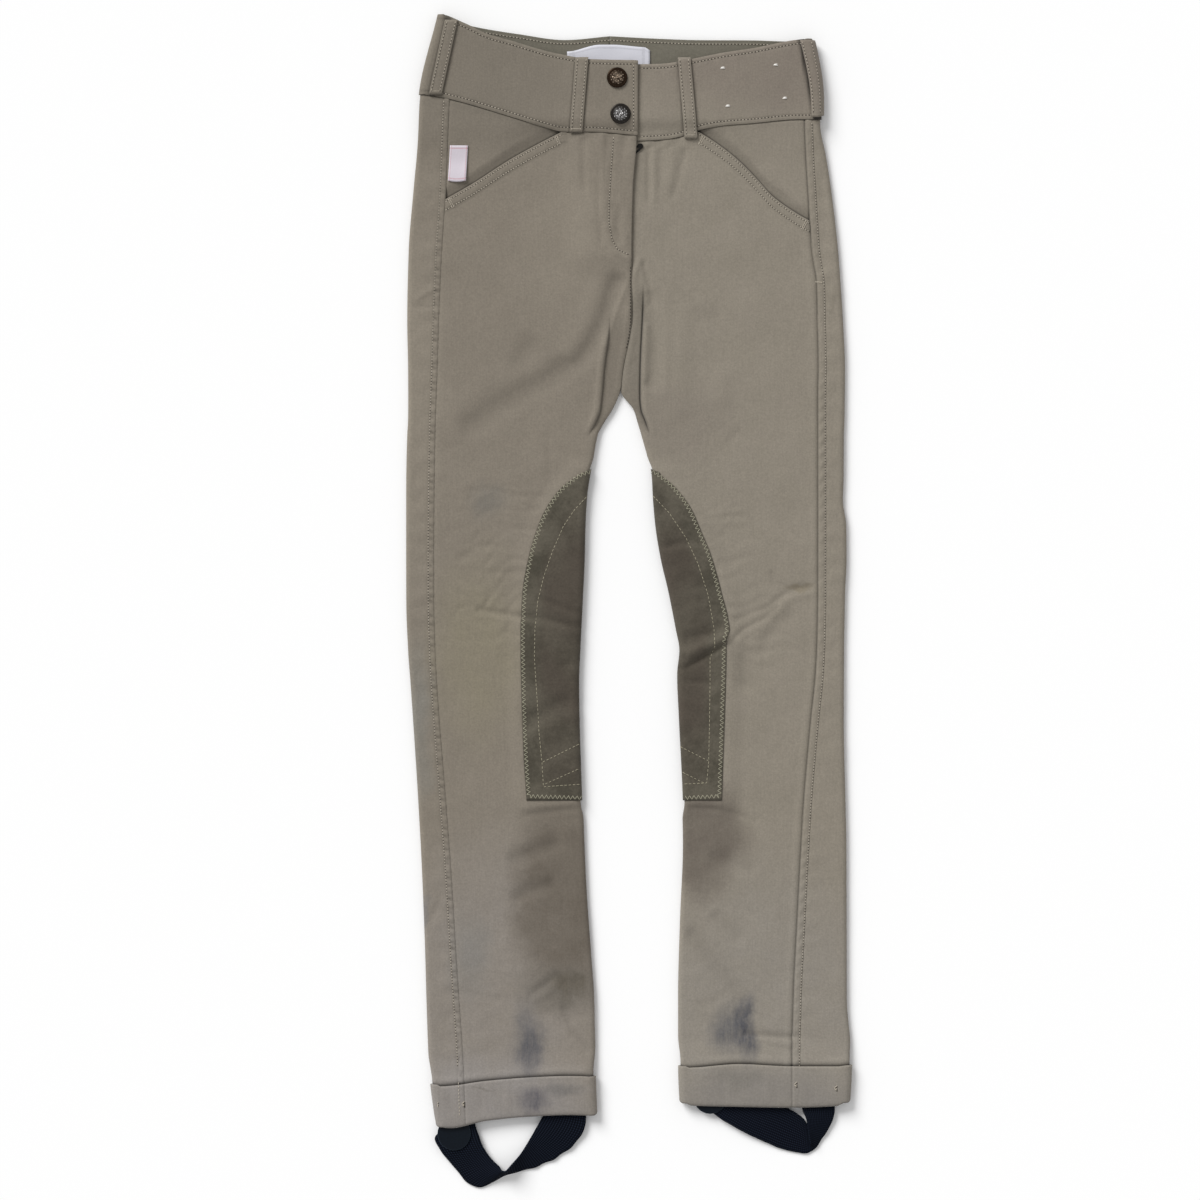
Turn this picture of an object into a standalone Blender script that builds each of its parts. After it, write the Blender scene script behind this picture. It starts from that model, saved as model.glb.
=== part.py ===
"""A child's riding breeches, laid flat on their back.

Frame: metres, +X to the wearer's left, +Y from hem to waist, +Z up from the surface they lie on.
Sizes below are in millimetres. "Right" and "left" are the wearer's, so the right leg lies at -X.

Each leg is a flattened tube: an upper and a lower layer of cloth joined by a rounded fold along
the outer edge and another along the inner edge. Every cloth piece is a patch of that tube, read
off at its own rows and stations, and moved out where it lies on another piece.
"""
import math
from bisect import bisect_right

import bmesh
import bpy
from mathutils import Matrix, Vector

MM = 0.001

# Cloth and layers
CLOTH = 1.2            # bonded twill of the legs
BAND = 2.0             # doubled cloth of the waistband
SUEDE = 1.2            # knee patches
WEBBING = 1.2          # elastic of the stirrup straps
SEAM = 0.3             # gap between two pieces that are sewn edge to edge
LAY = 0.35             # gap under a piece that lies on another
OVER = CLOTH / 2 + LAY + SUEDE / 2      # how far a patch or cuff stands off the leg's middle surface
LAYER_GAP = 4.4        # between the middle surfaces of the upper and lower layers
FOLD_RADIUS = 3.5      # rounding of the folded edges, seen from above
FOLD_SLACK = 0.4       # extra room where one layer wraps another round a fold
LIP = 0.5              # upright lip where front and back meet along the inner leg

# Places along the leg
APEX_X, APEX_Y = -6.9, 171.8            # lowest point of the crotch
CROTCH_Y, CROTCH_TURN = 137.0, 20.0     # here the inner fold opens into layers that lie flat
HIP_Y = 288.0                           # below this every row of the leg is level
CALF_Y = -355.0                         # the last level row above the cuffs
PATCH_TOP, PATCH_BOTTOM = 104.0, -163.0
PATCH_WRAP = 42.0                       # how far the knee patches reach under the leg
MARK_STEP = 3.0                         # width of the steep side of the crotch pleats
WAIST_LIFT = 2.7                        # room for the belt loops under the back waistband

# Fly, zip and studs
FLY_RAISE = 3.0                         # how far the fly stands over the zip
FLY_FULL_X, FLY_NONE_X = -26.0, -60.0
FLY_FULL_Y, FLY_NONE_Y = 287.0, 262.0
FLY_UNDERLAP = 5.0                      # the left front reaches this far under the fly
BAND_UNDERLAP_X = -22.0                 # end of the left waistband, under the studs
ZIP_X, ZIP_TOP, ZIP_BOTTOM = -5.7, 376.0, 290.0
ZIP_HALF_WIDTH = 11.0
SLIDER = Vector((ZIP_X, 359.6))
SLIDER_PLATE = (9.0, 12.0, 1.15)
POST_RADIUS = 0.9
TAB_LENGTH, TAB_WIDTH, TAB_THICKNESS = 22.5, 4.5, 0.9
TAB_EYE = 1.25
TAB_ANGLE = 42.0                        # the tab points up and to the wearer's left
STUDS = {"stud_cap_upper": (-9.8, 428.4), "stud_cap_lower": (-7.0, 398.9)}
STUD_RADIUS = 8.4

LOOP_WIDTH = 10.2
LOOP_CLOTH = 1.3
LOOP_ARCH = 0.8
DISC_RADIUS, DISC_THICKNESS = 13.6, 1.0
HEM_HEIGHT = 3.7                        # middle of the webbing between the layers of the hem
LABEL = 0.6

RIGHT, LEFT = -1, 1                     # side of the body: the sign of its outer edge in X
UPPER, LOWER = 1, -1                    # layer of a leg: the sign of its face in Z


class Table:
    """Named columns against a first, sorted one, read as smooth curves without overshoot."""

    def __init__(self, names, *rows):
        ordered = sorted(rows)
        self.keys = [row[0] for row in ordered]
        self.columns = {name: [row[i] for row in ordered] for i, name in enumerate(names.split())}

    def slope(self, values, i):
        if i <= 0 or i >= len(values) - 1:
            j = min(max(i, 1), len(values) - 1)
            return (values[j] - values[j - 1]) / (self.keys[j] - self.keys[j - 1])
        before = (values[i] - values[i - 1]) / (self.keys[i] - self.keys[i - 1])
        after = (values[i + 1] - values[i]) / (self.keys[i + 1] - self.keys[i])
        if before * after <= 0:
            return 0.0
        return 2 * before * after / (before + after)

    def at(self, name, key):
        values = self.columns[name]
        key = min(max(key, self.keys[0]), self.keys[-1])
        i = min(bisect_right(self.keys, key), len(self.keys) - 1) - 1
        span = self.keys[i + 1] - self.keys[i]
        t = (key - self.keys[i]) / span
        start, end = self.slope(values, i) * span, self.slope(values, i + 1) * span
        rise = values[i + 1] - values[i]
        return values[i] + t * start + t * t * (3 * rise - 2 * start - end) + t ** 3 * (start + end - 2 * rise)


# Cross sections of the two legs: the outer edge, the side seam on the upper layer, the mark line
# (the crotch pleat above, the edge of the knee patch below) and the inner edge. Above the crotch
# the inner edge is the centre front.
SECTIONS = {
    RIGHT: Table(
        "y       outer   seam    mark    inner",
        (481.0, -155.8, -141.0, -34.0, 7.0),
        (413.0, -171.4, -146.8, -32.0, 6.6),
        (378.0, -173.2, -148.4, -30.0, 6.2),
        (337.0, -176.9, -150.1, -28.0, 3.2),
        (288.0, -180.8, -153.3, -25.0, 2.2),
        (231.0, -182.0, -155.8, -17.0, 2.2),
        (190.0, -181.3, -157.0, -21.5, -4.6),
        (171.8, -181.2, -157.7, -23.0, -6.9),
        (168.0, -181.2, -157.8, -23.4, -8.2),
        (158.0, -181.2, -158.2, -24.5, -12.8),
        (147.0, -181.4, -158.6, -28.5, -20.0),
        (137.0, -182.0, -158.8, -33.5, -25.5),
        (104.0, -182.8, -159.4, -41.0, -31.0),
        (88.0, -182.9, -159.6, -56.0, -33.4),
        (62.0, -182.9, -159.8, -70.5, -35.0),
        (35.0, -182.9, -159.9, -80.0, -35.6),
        (0.0, -182.8, -159.8, -87.3, -37.2),
        (-40.0, -181.3, -158.8, -88.4, -39.2),
        (-66.0, -179.4, -157.5, -88.0, -40.2),
        (-163.0, -173.0, -150.1, -83.6, -37.7),
        (-228.0, -169.6, -145.3, -76.0, -35.2),
        (-292.0, -167.2, -141.5, -70.0, -30.8),
        (-325.0, -166.3, -139.3, -68.0, -28.5),
        (-386.0, -163.9, -135.4, -64.0, -27.2),
        (-432.0, -158.3, -133.7, -62.0, -25.4)),
    LEFT: Table(
        "y       outer   seam    mark    inner",
        (481.0, 141.0, 130.0, 22.0, 7.0),
        (457.0, 150.0, 138.0, 22.0, 7.0),
        (413.0, 156.4, 143.3, 22.0, 6.6),
        (390.0, 156.8, 144.0, 21.0, 6.4),
        (366.0, 161.5, 145.0, 20.0, 5.4),
        (337.0, 166.0, 146.8, 18.0, 3.2),
        (288.0, 171.6, 150.1, 15.0, 2.2),
        (260.0, 173.7, 154.0, 13.5, 2.2),
        (231.0, 175.6, 154.7, 12.4, 2.2),
        (190.0, 177.3, 155.4, 10.6, -4.6),
        (171.8, 177.2, 155.0, 10.4, -6.9),
        (168.0, 177.1, 155.0, 10.4, -4.9),
        (158.0, 177.0, 155.0, 11.2, 3.0),
        (147.0, 176.8, 155.0, 15.0, 6.8),
        (137.0, 176.4, 155.0, 18.3, 10.0),
        (104.0, 176.2, 155.0, 28.0, 17.8),
        (83.0, 175.6, 155.0, 42.3, 19.0),
        (62.0, 178.3, 155.0, 54.8, 20.9),
        (35.0, 178.6, 155.0, 68.6, 25.3),
        (8.0, 177.4, 155.0, 78.3, 31.6),
        (-22.0, 176.8, 154.6, 84.0, 37.5),
        (-40.0, 176.5, 154.1, 80.7, 40.6),
        (-60.0, 176.4, 153.0, 80.2, 38.8),
        (-97.0, 176.3, 149.2, 78.9, 40.3),
        (-163.0, 177.6, 143.5, 77.3, 43.4),
        (-200.0, 178.4, 141.2, 77.0, 44.2),
        (-261.0, 178.6, 138.0, 78.0, 41.8),
        (-325.0, 178.8, 134.9, 80.0, 40.2),
        (-380.0, 182.9, 133.7, 82.0, 40.2),
        (-416.0, 181.4, 133.7, 82.0, 41.4)),
}

# The waist seam and the top edge of the band, in front and behind.
WAIST_FRONT = {
    RIGHT: Table(
        "x       low    top",
        (-171.4, 415.3, 481.0),
        (-155.8, 413.4, 480.9),
        (-134.2, 408.3, 473.3),
        (-116.7, 403.2, 464.9),
        (-95.9, 396.8, 458.9),
        (-67.2, 388.3, 450.4),
        (-53.3, 385.2, 447.4),
        (-31.5, 384.9, 443.5),
        (7.0, 381.8, 442.6)),
    LEFT: Table(
        "x      low    top",
        (-22.0, 378.2, 439.8),
        (7.4, 377.8, 439.8),
        (28.7, 378.8, 440.4),
        (45.5, 382.1, 443.0),
        (54.9, 386.0, 444.9),
        (76.8, 389.9, 449.2),
        (100.9, 391.7, 452.9),
        (137.8, 394.9, 459.9),
        (156.6, 395.0, 461.5)),
}
WAIST_BACK = {
    RIGHT: Table(
        "x       low    top",
        (-171.4, 415.3, 480.9),
        (-155.8, 413.6, 480.9),
        (-129.6, 410.0, 472.1),
        (-89.9, 404.5, 465.3),
        (-53.0, 401.2, 460.6),
        (-15.6, 400.0, 463.7)),
    LEFT: Table(
        "x      low    top",
        (-15.6, 400.0, 463.7),
        (20.0, 399.4, 461.8),
        (58.2, 398.4, 460.5),
        (100.0, 397.0, 460.3),
        (132.0, 396.0, 459.4),
        (156.6, 395.0, 461.5)),
}
POCKET_MOUTH = {
    RIGHT: Table(
        "x       y",
        (-151.5, 329.0),
        (-128.9, 341.9),
        (-96.3, 362.8),
        (-70.1, 377.2),
        (-54.5, 385.0)),
    LEFT: Table(
        "x      y",
        (56.0, 385.6),
        (71.1, 376.0),
        (88.1, 362.8),
        (105.0, 345.9),
        (116.8, 332.8),
        (136.4, 318.6),
        (149.5, 311.0)),
}
CUFF = {
    RIGHT: Table(
        "x       top     hem",
        (-165.0, -393.7, -426.5),
        (-155.0, -397.3, -430.8),
        (-146.0, -396.8, -431.2),
        (-118.0, -392.9, -425.5),
        (-80.0, -389.9, -421.7),
        (-50.0, -388.8, -420.5),
        (-25.0, -389.3, -421.3)),
    LEFT: Table(
        "x      top     hem",
        (40.0, -379.4, -408.5),
        (47.0, -382.0, -412.6),
        (90.0, -379.0, -413.8),
        (134.0, -380.9, -414.5),
        (172.0, -380.9, -413.0),
        (183.0, -379.7, -409.0)),
}

# Level rows of the legs, from the hip down to the calf: each zone is cut into equal steps.
ROW_ZONES = (
    ("bottom", "steps"),
    (262.0, 2), (222.0, 2), (180.0, 2), (APEX_Y, 2), (168.0, 1), (158.0, 1), (137.0, 2),
    (PATCH_TOP, 2), (35.0, 4), (-45.0, 5), (PATCH_BOTTOM, 5), (CALF_Y, 7))

# The largest folds of the upper layer: a ridge (height above 0) or a trough between two points.
FOLDS = {
    RIGHT: (
        ("x0", "y0", "x1", "y1", "width", "height"),
        (-12.0, 264.0, -27.0, 218.0, 8.0, -1.9),
        (-27.0, 218.0, -49.0, 182.0, 9.0, -1.9),
        (-52.0, 194.0, -88.0, 172.0, 11.0, -1.5),
        (-88.0, 172.0, -146.0, 142.0, 12.0, -1.4),
        (-76.0, 222.0, -100.0, 184.0, 11.0, -0.7),
        (-138.0, 86.0, -66.0, 88.0, 10.0, -0.9),
        (-142.0, 34.0, -106.0, 50.0, 10.0, -0.9),
        (-124.0, -6.0, -40.0, -18.0, 9.0, -1.5),
        (-88.0, -102.0, -40.0, -88.0, 10.0, -1.1),
        (-100.0, -214.0, -54.0, -197.0, 11.0, -1.2),
        (-98.0, -245.0, -56.0, -232.0, 11.0, -1.2),
        (-84.0, -328.0, -50.0, -308.0, 11.0, -1.4),
        (-52.0, -340.0, -32.0, -376.0, 9.0, -1.4),
        (-160.0, -378.0, -136.0, -376.0, 12.0, 1.4)),
    LEFT: (
        ("x0", "y0", "x1", "y1", "width", "height"),
        (27.0, 372.0, 24.0, 338.0, 8.0, -1.2),
        (46.0, 374.0, 40.0, 330.0, 9.0, -1.3),
        (15.0, 262.0, 21.0, 240.0, 8.0, -1.2),
        (48.0, 242.0, 78.0, 247.0, 12.0, -0.9),
        (44.0, -33.0, 84.0, -23.0, 9.0, -1.7),
        (84.0, -23.0, 122.0, 4.0, 9.0, -1.5),
        (122.0, 4.0, 160.0, 12.0, 9.0, -1.3),
        (44.0, -50.0, 90.0, -33.0, 9.0, 2.4),
        (90.0, -33.0, 128.0, -8.0, 9.0, 1.8),
        (44.0, -68.0, 84.0, -46.0, 9.0, -1.3),
        (108.0, -46.0, 134.0, -14.0, 10.0, -1.0),
        (28.0, 42.0, 64.0, 52.0, 9.0, -1.2),
        (48.0, -268.0, 98.0, -330.0, 12.0, -1.5),
        (94.0, -356.0, 132.0, -368.0, 10.0, -1.2)),
}

# The stirrup straps: stations along the webbing, its outer and inner edge, and how far the
# inner edge stands up where the webbing turns on its edge.
STRAPS = {
    RIGHT: (
        ("outer x", "outer y", "outer z", "inner x", "inner y", "inner z"),
        (-150.0, -411.0, 3.7, -128.0, -411.0, 3.7),
        (-152.5, -424.0, 3.7, -127.0, -424.0, 3.7),
        (-153.8, -432.2, 3.7, -125.6, -431.0, 3.7),
        (-159.5, -440.5, 3.7, -123.0, -438.5, 3.7),
        (-155.0, -449.5, 3.7, -120.6, -445.5, 3.7),
        (-149.0, -458.0, 2.2, -116.5, -452.5, 3.6),
        (-140.0, -468.5, 1.0, -112.5, -457.5, 4.4),
        (-133.0, -476.8, 0.7, -109.0, -460.8, 5.6),
        (-123.0, -481.0, 0.7, -106.0, -463.4, 7.6),
        (-112.0, -476.6, 0.7, -104.2, -466.0, 9.8),
        (-102.0, -471.0, 0.7, -101.4, -466.6, 11.0),
        (-92.5, -468.6, 0.7, -94.8, -459.8, 9.6),
        (-82.0, -465.8, 0.7, -89.0, -453.2, 6.8),
        (-70.0, -461.8, 0.7, -84.0, -445.5, 4.6),
        (-58.0, -455.5, 1.0, -79.6, -438.0, 3.8),
        (-46.5, -447.0, 1.8, -76.0, -431.6, 3.7),
        (-38.5, -436.5, 2.8, -72.5, -425.4, 3.7),
        (-35.0, -424.5, 3.7, -69.0, -419.0, 3.7),
        (-34.6, -408.0, 3.7, -62.0, -408.0, 3.7)),
    LEFT: (
        ("outer x", "outer y", "outer z", "inner x", "inner y", "inner z"),
        (51.5, -402.0, 3.7, 66.0, -380.5, 3.7),
        (59.0, -411.0, 3.7, 76.0, -388.0, 3.7),
        (70.5, -421.0, 3.7, 88.0, -396.0, 3.7),
        (84.4, -430.0, 3.7, 100.0, -403.5, 3.7),
        (100.7, -438.5, 2.9, 113.0, -410.0, 3.7),
        (115.6, -445.5, 1.7, 125.0, -416.5, 3.5),
        (128.3, -450.2, 0.9, 135.0, -420.5, 3.1),
        (139.0, -452.6, 0.7, 143.2, -426.0, 3.0),
        (146.0, -453.0, 0.7, 148.0, -433.0, 4.8),
        (150.0, -451.0, 0.7, 151.2, -440.0, 8.4),
        (154.0, -447.0, 0.8, 154.6, -442.6, 10.2),
        (159.0, -440.0, 1.2, 156.2, -436.5, 8.6),
        (164.0, -432.0, 1.9, 152.6, -430.0, 6.6),
        (168.0, -424.0, 2.8, 148.4, -423.5, 5.0),
        (168.9, -415.5, 3.6, 144.6, -416.5, 3.9),
        (168.9, -402.0, 3.7, 143.5, -404.0, 3.7)),
}
DISCS = {RIGHT: (-143.5, -436.4), LEFT: (66.5, -406.5)}

COLOURS = {
    "twill": (0.235, 0.209, 0.172), "suede": (0.082, 0.070, 0.050), "elastic": (0.006, 0.007, 0.012),
    "brass": (0.045, 0.035, 0.025), "satin": (0.60, 0.60, 0.63), "tape": (0.20, 0.18, 0.15),
    "enamel": (0.01, 0.01, 0.012), "rubber": (0.02, 0.022, 0.026)}


# ---------------------------------------------------------------- the flattened legs

def smooth(t):
    t = min(max(t, 0.0), 1.0)
    return t * t * (3 - 2 * t)


def mix(a, b, t):
    return a + (b - a) * t


def patch_zone(y):
    """1 along the knee patch, falling to 0 just above and below it."""
    return smooth((y - PATCH_BOTTOM + 16) / 14) * smooth((PATCH_TOP + 16 - y) / 14)


def cuff_zone(side, x, y):
    """1 inside the turned-up cuff, falling to 0 above it."""
    return smooth((CUFF[side].at("top", x) + 24 - y) / 22)


def outer_edge(side, y):
    """Middle surface of the cloth at the outer fold."""
    outline = SECTIONS[side].at("outer", y)
    tuck = CLOTH / 2 + (OVER + FOLD_SLACK) * cuff_zone(side, outline, y)
    return outline - side * tuck


def seam_half_gap(y):
    """Half of the gap at the centre seams, wider at the point of the crotch."""
    return SEAM / 2 + SEAM * math.exp(-((y - APEX_Y) / 3) ** 2)


def centre_back(y):
    return mix(APEX_X, -15.6, min((y - APEX_Y) / (463.0 - APEX_Y), 1.0))


def inner_edge(side, layer, y):
    """Middle surface at the inner fold or, above the crotch, at the centre front or back."""
    outline = SECTIONS[side if y < APEX_Y else RIGHT].at("inner", y)
    if y < APEX_Y:
        wrapped = max(patch_zone(y), cuff_zone(side, outline, y))
        return outline + side * (CLOTH / 2 + (OVER + FOLD_SLACK) * wrapped)
    if layer == LOWER:
        return centre_back(y) + side * seam_half_gap(y)
    if side == LEFT:
        outline -= FLY_UNDERLAP * smooth((y - 275.0) / 12.0)
    return outline + side * seam_half_gap(y)


def mark_line(side, y):
    return SECTIONS[side].at("mark", y)


def back_mark(side, y):
    """Edge of the knee patch on the lower layer, and a station of the back above and below it."""
    edge = inner_edge(side, LOWER, y)
    reach = min(PATCH_WRAP, 0.9 * abs(mark_line(side, y) - SECTIONS[side].at("inner", y)))
    return edge + side * max(reach, 7.0)


def floor_lift(side, x, y):
    """Height of the garment above the floor, where a piece lies between them."""
    waist = WAIST_LIFT * smooth((y - 384.0) / 12.0)
    cuff = OVER * cuff_zone(side, x, y)
    if y > PATCH_TOP + 20 or y < PATCH_BOTTOM - 20:
        return waist + cuff
    edge, mark = inner_edge(side, LOWER, y), back_mark(side, y)
    beyond = (x - mark) * side
    return waist + cuff + OVER * patch_zone(y) * (1 - smooth((beyond - 2) / 16))


def edge_distance(side, x, y):
    outer = abs(x - outer_edge(side, y))
    if y < APEX_Y:
        return min(outer, abs(x - inner_edge(side, UPPER, y)))
    return min(outer, math.hypot(x - APEX_X, y - APEX_Y))


def fold_profile(distance):
    """0 at a folded edge, where the layers meet, and 1 a fold's radius away from it."""
    t = 1 - min(distance / FOLD_RADIUS, 1.0)
    return math.sqrt(max(1 - t * t, 0.0))


def crease(fold, x, y):
    """Height of one fold: rounded across, and tapered along its length."""
    x0, y0, x1, y1, width, height = fold
    length = math.hypot(x1 - x0, y1 - y0)
    along = ((x - x0) * (x1 - x0) + (y - y0) * (y1 - y0)) / length
    across = ((x - x0) * (y1 - y0) - (y - y0) * (x1 - x0)) / length
    beyond = max(-along, along - length, 0.0)
    return height * math.exp(-(across / width) ** 2 - (beyond / width) ** 2)


def fly_raise(side, x, y):
    if side == LEFT:
        return 0.0
    rise = smooth((x - FLY_NONE_X) / (FLY_FULL_X - FLY_NONE_X))
    return FLY_RAISE * rise * smooth((y - FLY_NONE_Y) / (FLY_FULL_Y - FLY_NONE_Y))


def crotch_step(side, x, y):
    """The cloth between the two crotch pleats lies lower than the legs."""
    depth = 0.4 * LAYER_GAP * smooth((y - 137.0) / 16.0) * smooth((244.0 - y) / 32.0)
    return -depth * smooth((mark_line(side, y) - x) * side / MARK_STEP)


def relief(side, x, y):
    """How far the upper layer stands above its even height; its folds die out at the edges."""
    folds = sum(crease(fold, x, y) for fold in FOLDS[side][1:])
    folds *= smooth(edge_distance(side, x, y) / 13.0)
    return folds + fly_raise(side, x, y) + crotch_step(side, x, y)


def height_at(side, layer, x, y, out=0.0, profile=None):
    """Height of a surface that stands out from the middle of one layer."""
    if profile is None:
        profile = fold_profile(edge_distance(side, x, y))
    if profile == 1.0 and layer == LOWER:
        return floor_lift(side, x, y) + CLOTH / 2 - out
    room = LAYER_GAP + relief(side, x, y)
    middle = floor_lift(side, x, y) + CLOTH / 2 + room / 2
    return middle + layer * (room / 2 + out) * profile


def on_layer(side, layer, x, y, out=0.0):
    return (x, y, height_at(side, layer, x, y, out))


def round_fold(side, edge, angle, y, out=0.0):
    """A point of a folded edge: 90 degrees is the upper layer, 0 the edge, -90 the lower layer."""
    layer = UPPER if angle >= 0 else LOWER
    inward = -side if edge == "outer" else side
    start = outer_edge(side, y) if edge == "outer" else inner_edge(side, layer, y)
    turn = math.radians(abs(angle))
    slack = FOLD_SLACK * math.cos(turn) if out else 0.0
    x = start + inward * (FOLD_RADIUS - (FOLD_RADIUS + out + slack) * math.cos(turn))
    return (x, y, height_at(side, layer, start + inward * FOLD_RADIUS, y, out, math.sin(turn)))


def inner_stations(side, layer, y, out=0.0):
    """The last four points of a front or back: round the inner fold to an upright lip, or flat."""
    edge = inner_edge(side, layer, y)
    middle = height_at(side, UPPER, edge + side * FOLD_RADIUS, y, profile=0.0)
    flat = [Vector(on_layer(side, layer, edge + side * back, y, out)) for back in (5.0, 2.4, 0.7, 0.0)]
    for point in flat:
        stacked = max(abs(point.z - middle), CLOTH / 2 + SEAM / 2)
        point.z = middle + layer * stacked
    if y > CROTCH_Y + CROTCH_TURN:
        return flat
    stand = out + FOLD_SLACK if out else 0.0
    fold = [Vector(round_fold(side, "inner", layer * angle, y, out)) for angle in (90, 45)]
    for height in (SEAM / 2 + LIP, SEAM / 2):
        fold.append(Vector((edge - side * stand, y, middle + layer * height)))
    turn = smooth((y - CROTCH_Y) / CROTCH_TURN)
    return [a.lerp(b, turn) for a, b in zip(fold, flat)]


# ---------------------------------------------------------------- rows and stations

def level_rows():
    rows = [HIP_Y]
    for bottom, steps in ROW_ZONES[1:]:
        top = rows[-1]
        rows += [mix(top, bottom, (i + 1) / steps) for i in range(steps)]
    return rows


def front_top(side, x):
    """Upper edge of a front: the waist seam, then the slanting mouth of the pocket."""
    mouth = POCKET_MOUTH[side]
    start = mouth.keys[-1] if side == RIGHT else mouth.keys[0]
    if (x - start) * side > 0:
        return mouth.at("y", x)
    return WAIST_FRONT[side].at("low", x) - SEAM


def back_top(side, layer, x):
    table = WAIST_FRONT if layer == UPPER else WAIST_BACK
    return table[side].at("low", x) - SEAM


def leg_rows(top):
    """Row functions of a leg panel: each gives the row's y for a side and a place along X."""
    rows = []
    for part in (0.0, 0.25, 0.5, 0.75):
        rows.append(lambda side, layer, x, part=part: mix(top(side, layer, x), HIP_Y, part))
    for level in level_rows():
        rows.append(lambda side, layer, x, level=level: level)
    return rows + cuff_rows(end=3.0)


def cuff_rows(end=0.0):
    rows = [lambda side, layer, x: CUFF[side].at("top", x)]
    rows.append(lambda side, layer, x: mix(CUFF[side].at("top", x), CUFF[side].at("hem", x), 0.5))
    rows.append(lambda side, layer, x: CUFF[side].at("hem", x) + end)
    return rows


def between(first, last, parts):
    """Station functions at equal steps between two others, both left out."""
    return [lambda y, t=(i + 1) / (parts + 1): mix(first(y), last(y), t) for i in range(parts)]


def settle(side, layer, row, station, guess):
    """The place where a row crosses a station line."""
    x = guess
    for _ in range(4):
        y = row(side, layer, x)
        x = station(y)
    return x, row(side, layer, x)


def front_stations(side):
    """Station lines of a front, from the side seam to the start of the inner fold."""
    def seam(y):
        return SECTIONS[side].at("seam", y) - side * SEAM / 2

    def mark(y):
        return mark_line(side, y)

    def low_mark(y):
        room = abs(mark(y) - inner_edge(side, UPPER, y)) - FOLD_RADIUS
        return mark(y) - side * min(MARK_STEP, room * 0.4)

    def inner(y):
        return inner_edge(side, UPPER, y) + side * 5.0

    return [seam, *between(seam, mark, 5), mark, low_mark, *between(low_mark, inner, 2)]


def front_row(side, row, stations, out=0.0):
    points = []
    for station in stations:
        x, y = settle(side, UPPER, row, station, station(HIP_Y))
        points.append(on_layer(side, UPPER, x, y, out))
    inner = inner_edge(side, UPPER, points[-1][1])
    return points + inner_stations(side, UPPER, row(side, UPPER, inner), out)


def back_upper_stations(side):
    """Station lines of a back on the upper layer: the side seam and halfway to the fold."""
    def seam(y):
        return SECTIONS[side].at("seam", y) + side * SEAM / 2

    def outer(y):
        return outer_edge(side, y) - side * FOLD_RADIUS

    return [seam, *between(seam, outer, 1)]


def back_lower_stations(side):
    """Station lines of a back on the lower layer, from the outer fold to the inner."""
    def outer(y):
        return outer_edge(side, y) - side * FOLD_RADIUS

    def mark(y):
        return back_mark(side, y)

    def inner(y):
        return inner_edge(side, LOWER, y) + side * 5.0

    return [*between(outer, mark, 3), mark, *between(mark, inner, 1)]


def back_row(side, row, out=0.0):
    """One row of a back: from the side seam, round the outer fold, and along the lower layer."""
    points = []
    for station in back_upper_stations(side):
        x, y = settle(side, UPPER, row, station, station(HIP_Y))
        points.append(on_layer(side, UPPER, x, y, out))
    for angle in (90, 45, 0, -45, -90):
        layer = UPPER if angle >= 0 else LOWER
        y = row(side, layer, outer_edge(side, points[-1][1]))
        points.append(round_fold(side, "outer", angle, y, out))
    for station in back_lower_stations(side):
        x, y = settle(side, LOWER, row, station, station(HIP_Y))
        points.append(on_layer(side, LOWER, x, y, out))
    edge = inner_edge(side, LOWER, points[-1][1])
    return points + inner_stations(side, LOWER, row(side, LOWER, edge), out)


# ---------------------------------------------------------------- making objects

def new_collection(name):
    collection = bpy.data.collections.new(name)
    bpy.context.scene.collection.children.link(collection)
    return collection


def material(name):
    """One finish for each kind of cloth or metal, shared under a name for each object."""
    finish = bpy.data.materials.new(name)
    finish.use_nodes = True
    shader = finish.node_tree.nodes["Principled BSDF"]
    kind = FINISH_OF.get(name, "twill")
    shader.inputs["Base Color"].default_value = (*COLOURS[kind], 1.0)
    shader.inputs["Roughness"].default_value = 0.4 if kind in ("brass", "enamel") else 0.9
    shader.inputs["Metallic"].default_value = 1.0 if kind == "brass" else 0.0
    return finish


def add_object(name, mesh):
    mesh.name = name
    mesh.materials.clear()
    mesh.materials.append(material(name))
    thing = bpy.data.objects.new(name, mesh)
    PARTS.objects.link(thing)
    return thing


def add_cloth(name, rows, thickness, up):
    """A sheet through rows of points, faced up or down, thickened evenly about its middle."""
    mesh = bpy.data.meshes.new(name)
    width = len(rows[0])
    points = [Vector(point) * MM for row in rows for point in row]
    faces = []
    for i in range(len(rows) - 1):
        for j in range(width - 1):
            a = i * width + j
            quad = (a, a + 1, a + width + 1, a + width)
            faces.append(quad if up else quad[::-1])
    mesh.from_pydata(points, [], faces)
    mesh.shade_smooth()
    thing = add_object(name, mesh)
    wall = thing.modifiers.new("wall", "SOLIDIFY")
    wall.thickness = thickness * MM
    wall.offset = 0.0
    return thing


def faces_up(side):
    """Rows run from waist to hem and stations towards the body, so one leg's quads are reversed."""
    return side == LEFT


# ---------------------------------------------------------------- the pieces

def add_legs(side, name):
    fronts = front_stations(side)
    rows = leg_rows(lambda side, layer, x: front_top(side, x))
    add_cloth("front_" + name, [front_row(side, row, fronts) for row in rows], CLOTH, faces_up(side))
    rows = leg_rows(back_top)
    add_cloth("back_" + name, [back_row(side, row) for row in rows], CLOTH, faces_up(side))
    rows = cuff_rows()
    cuffs = [front_row(side, row, fronts, OVER) for row in rows]
    add_cloth("cuff_front_" + name, cuffs, CLOTH, faces_up(side))
    add_cloth("cuff_back_" + name, [back_row(side, row, OVER) for row in rows], CLOTH, faces_up(side))


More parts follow.
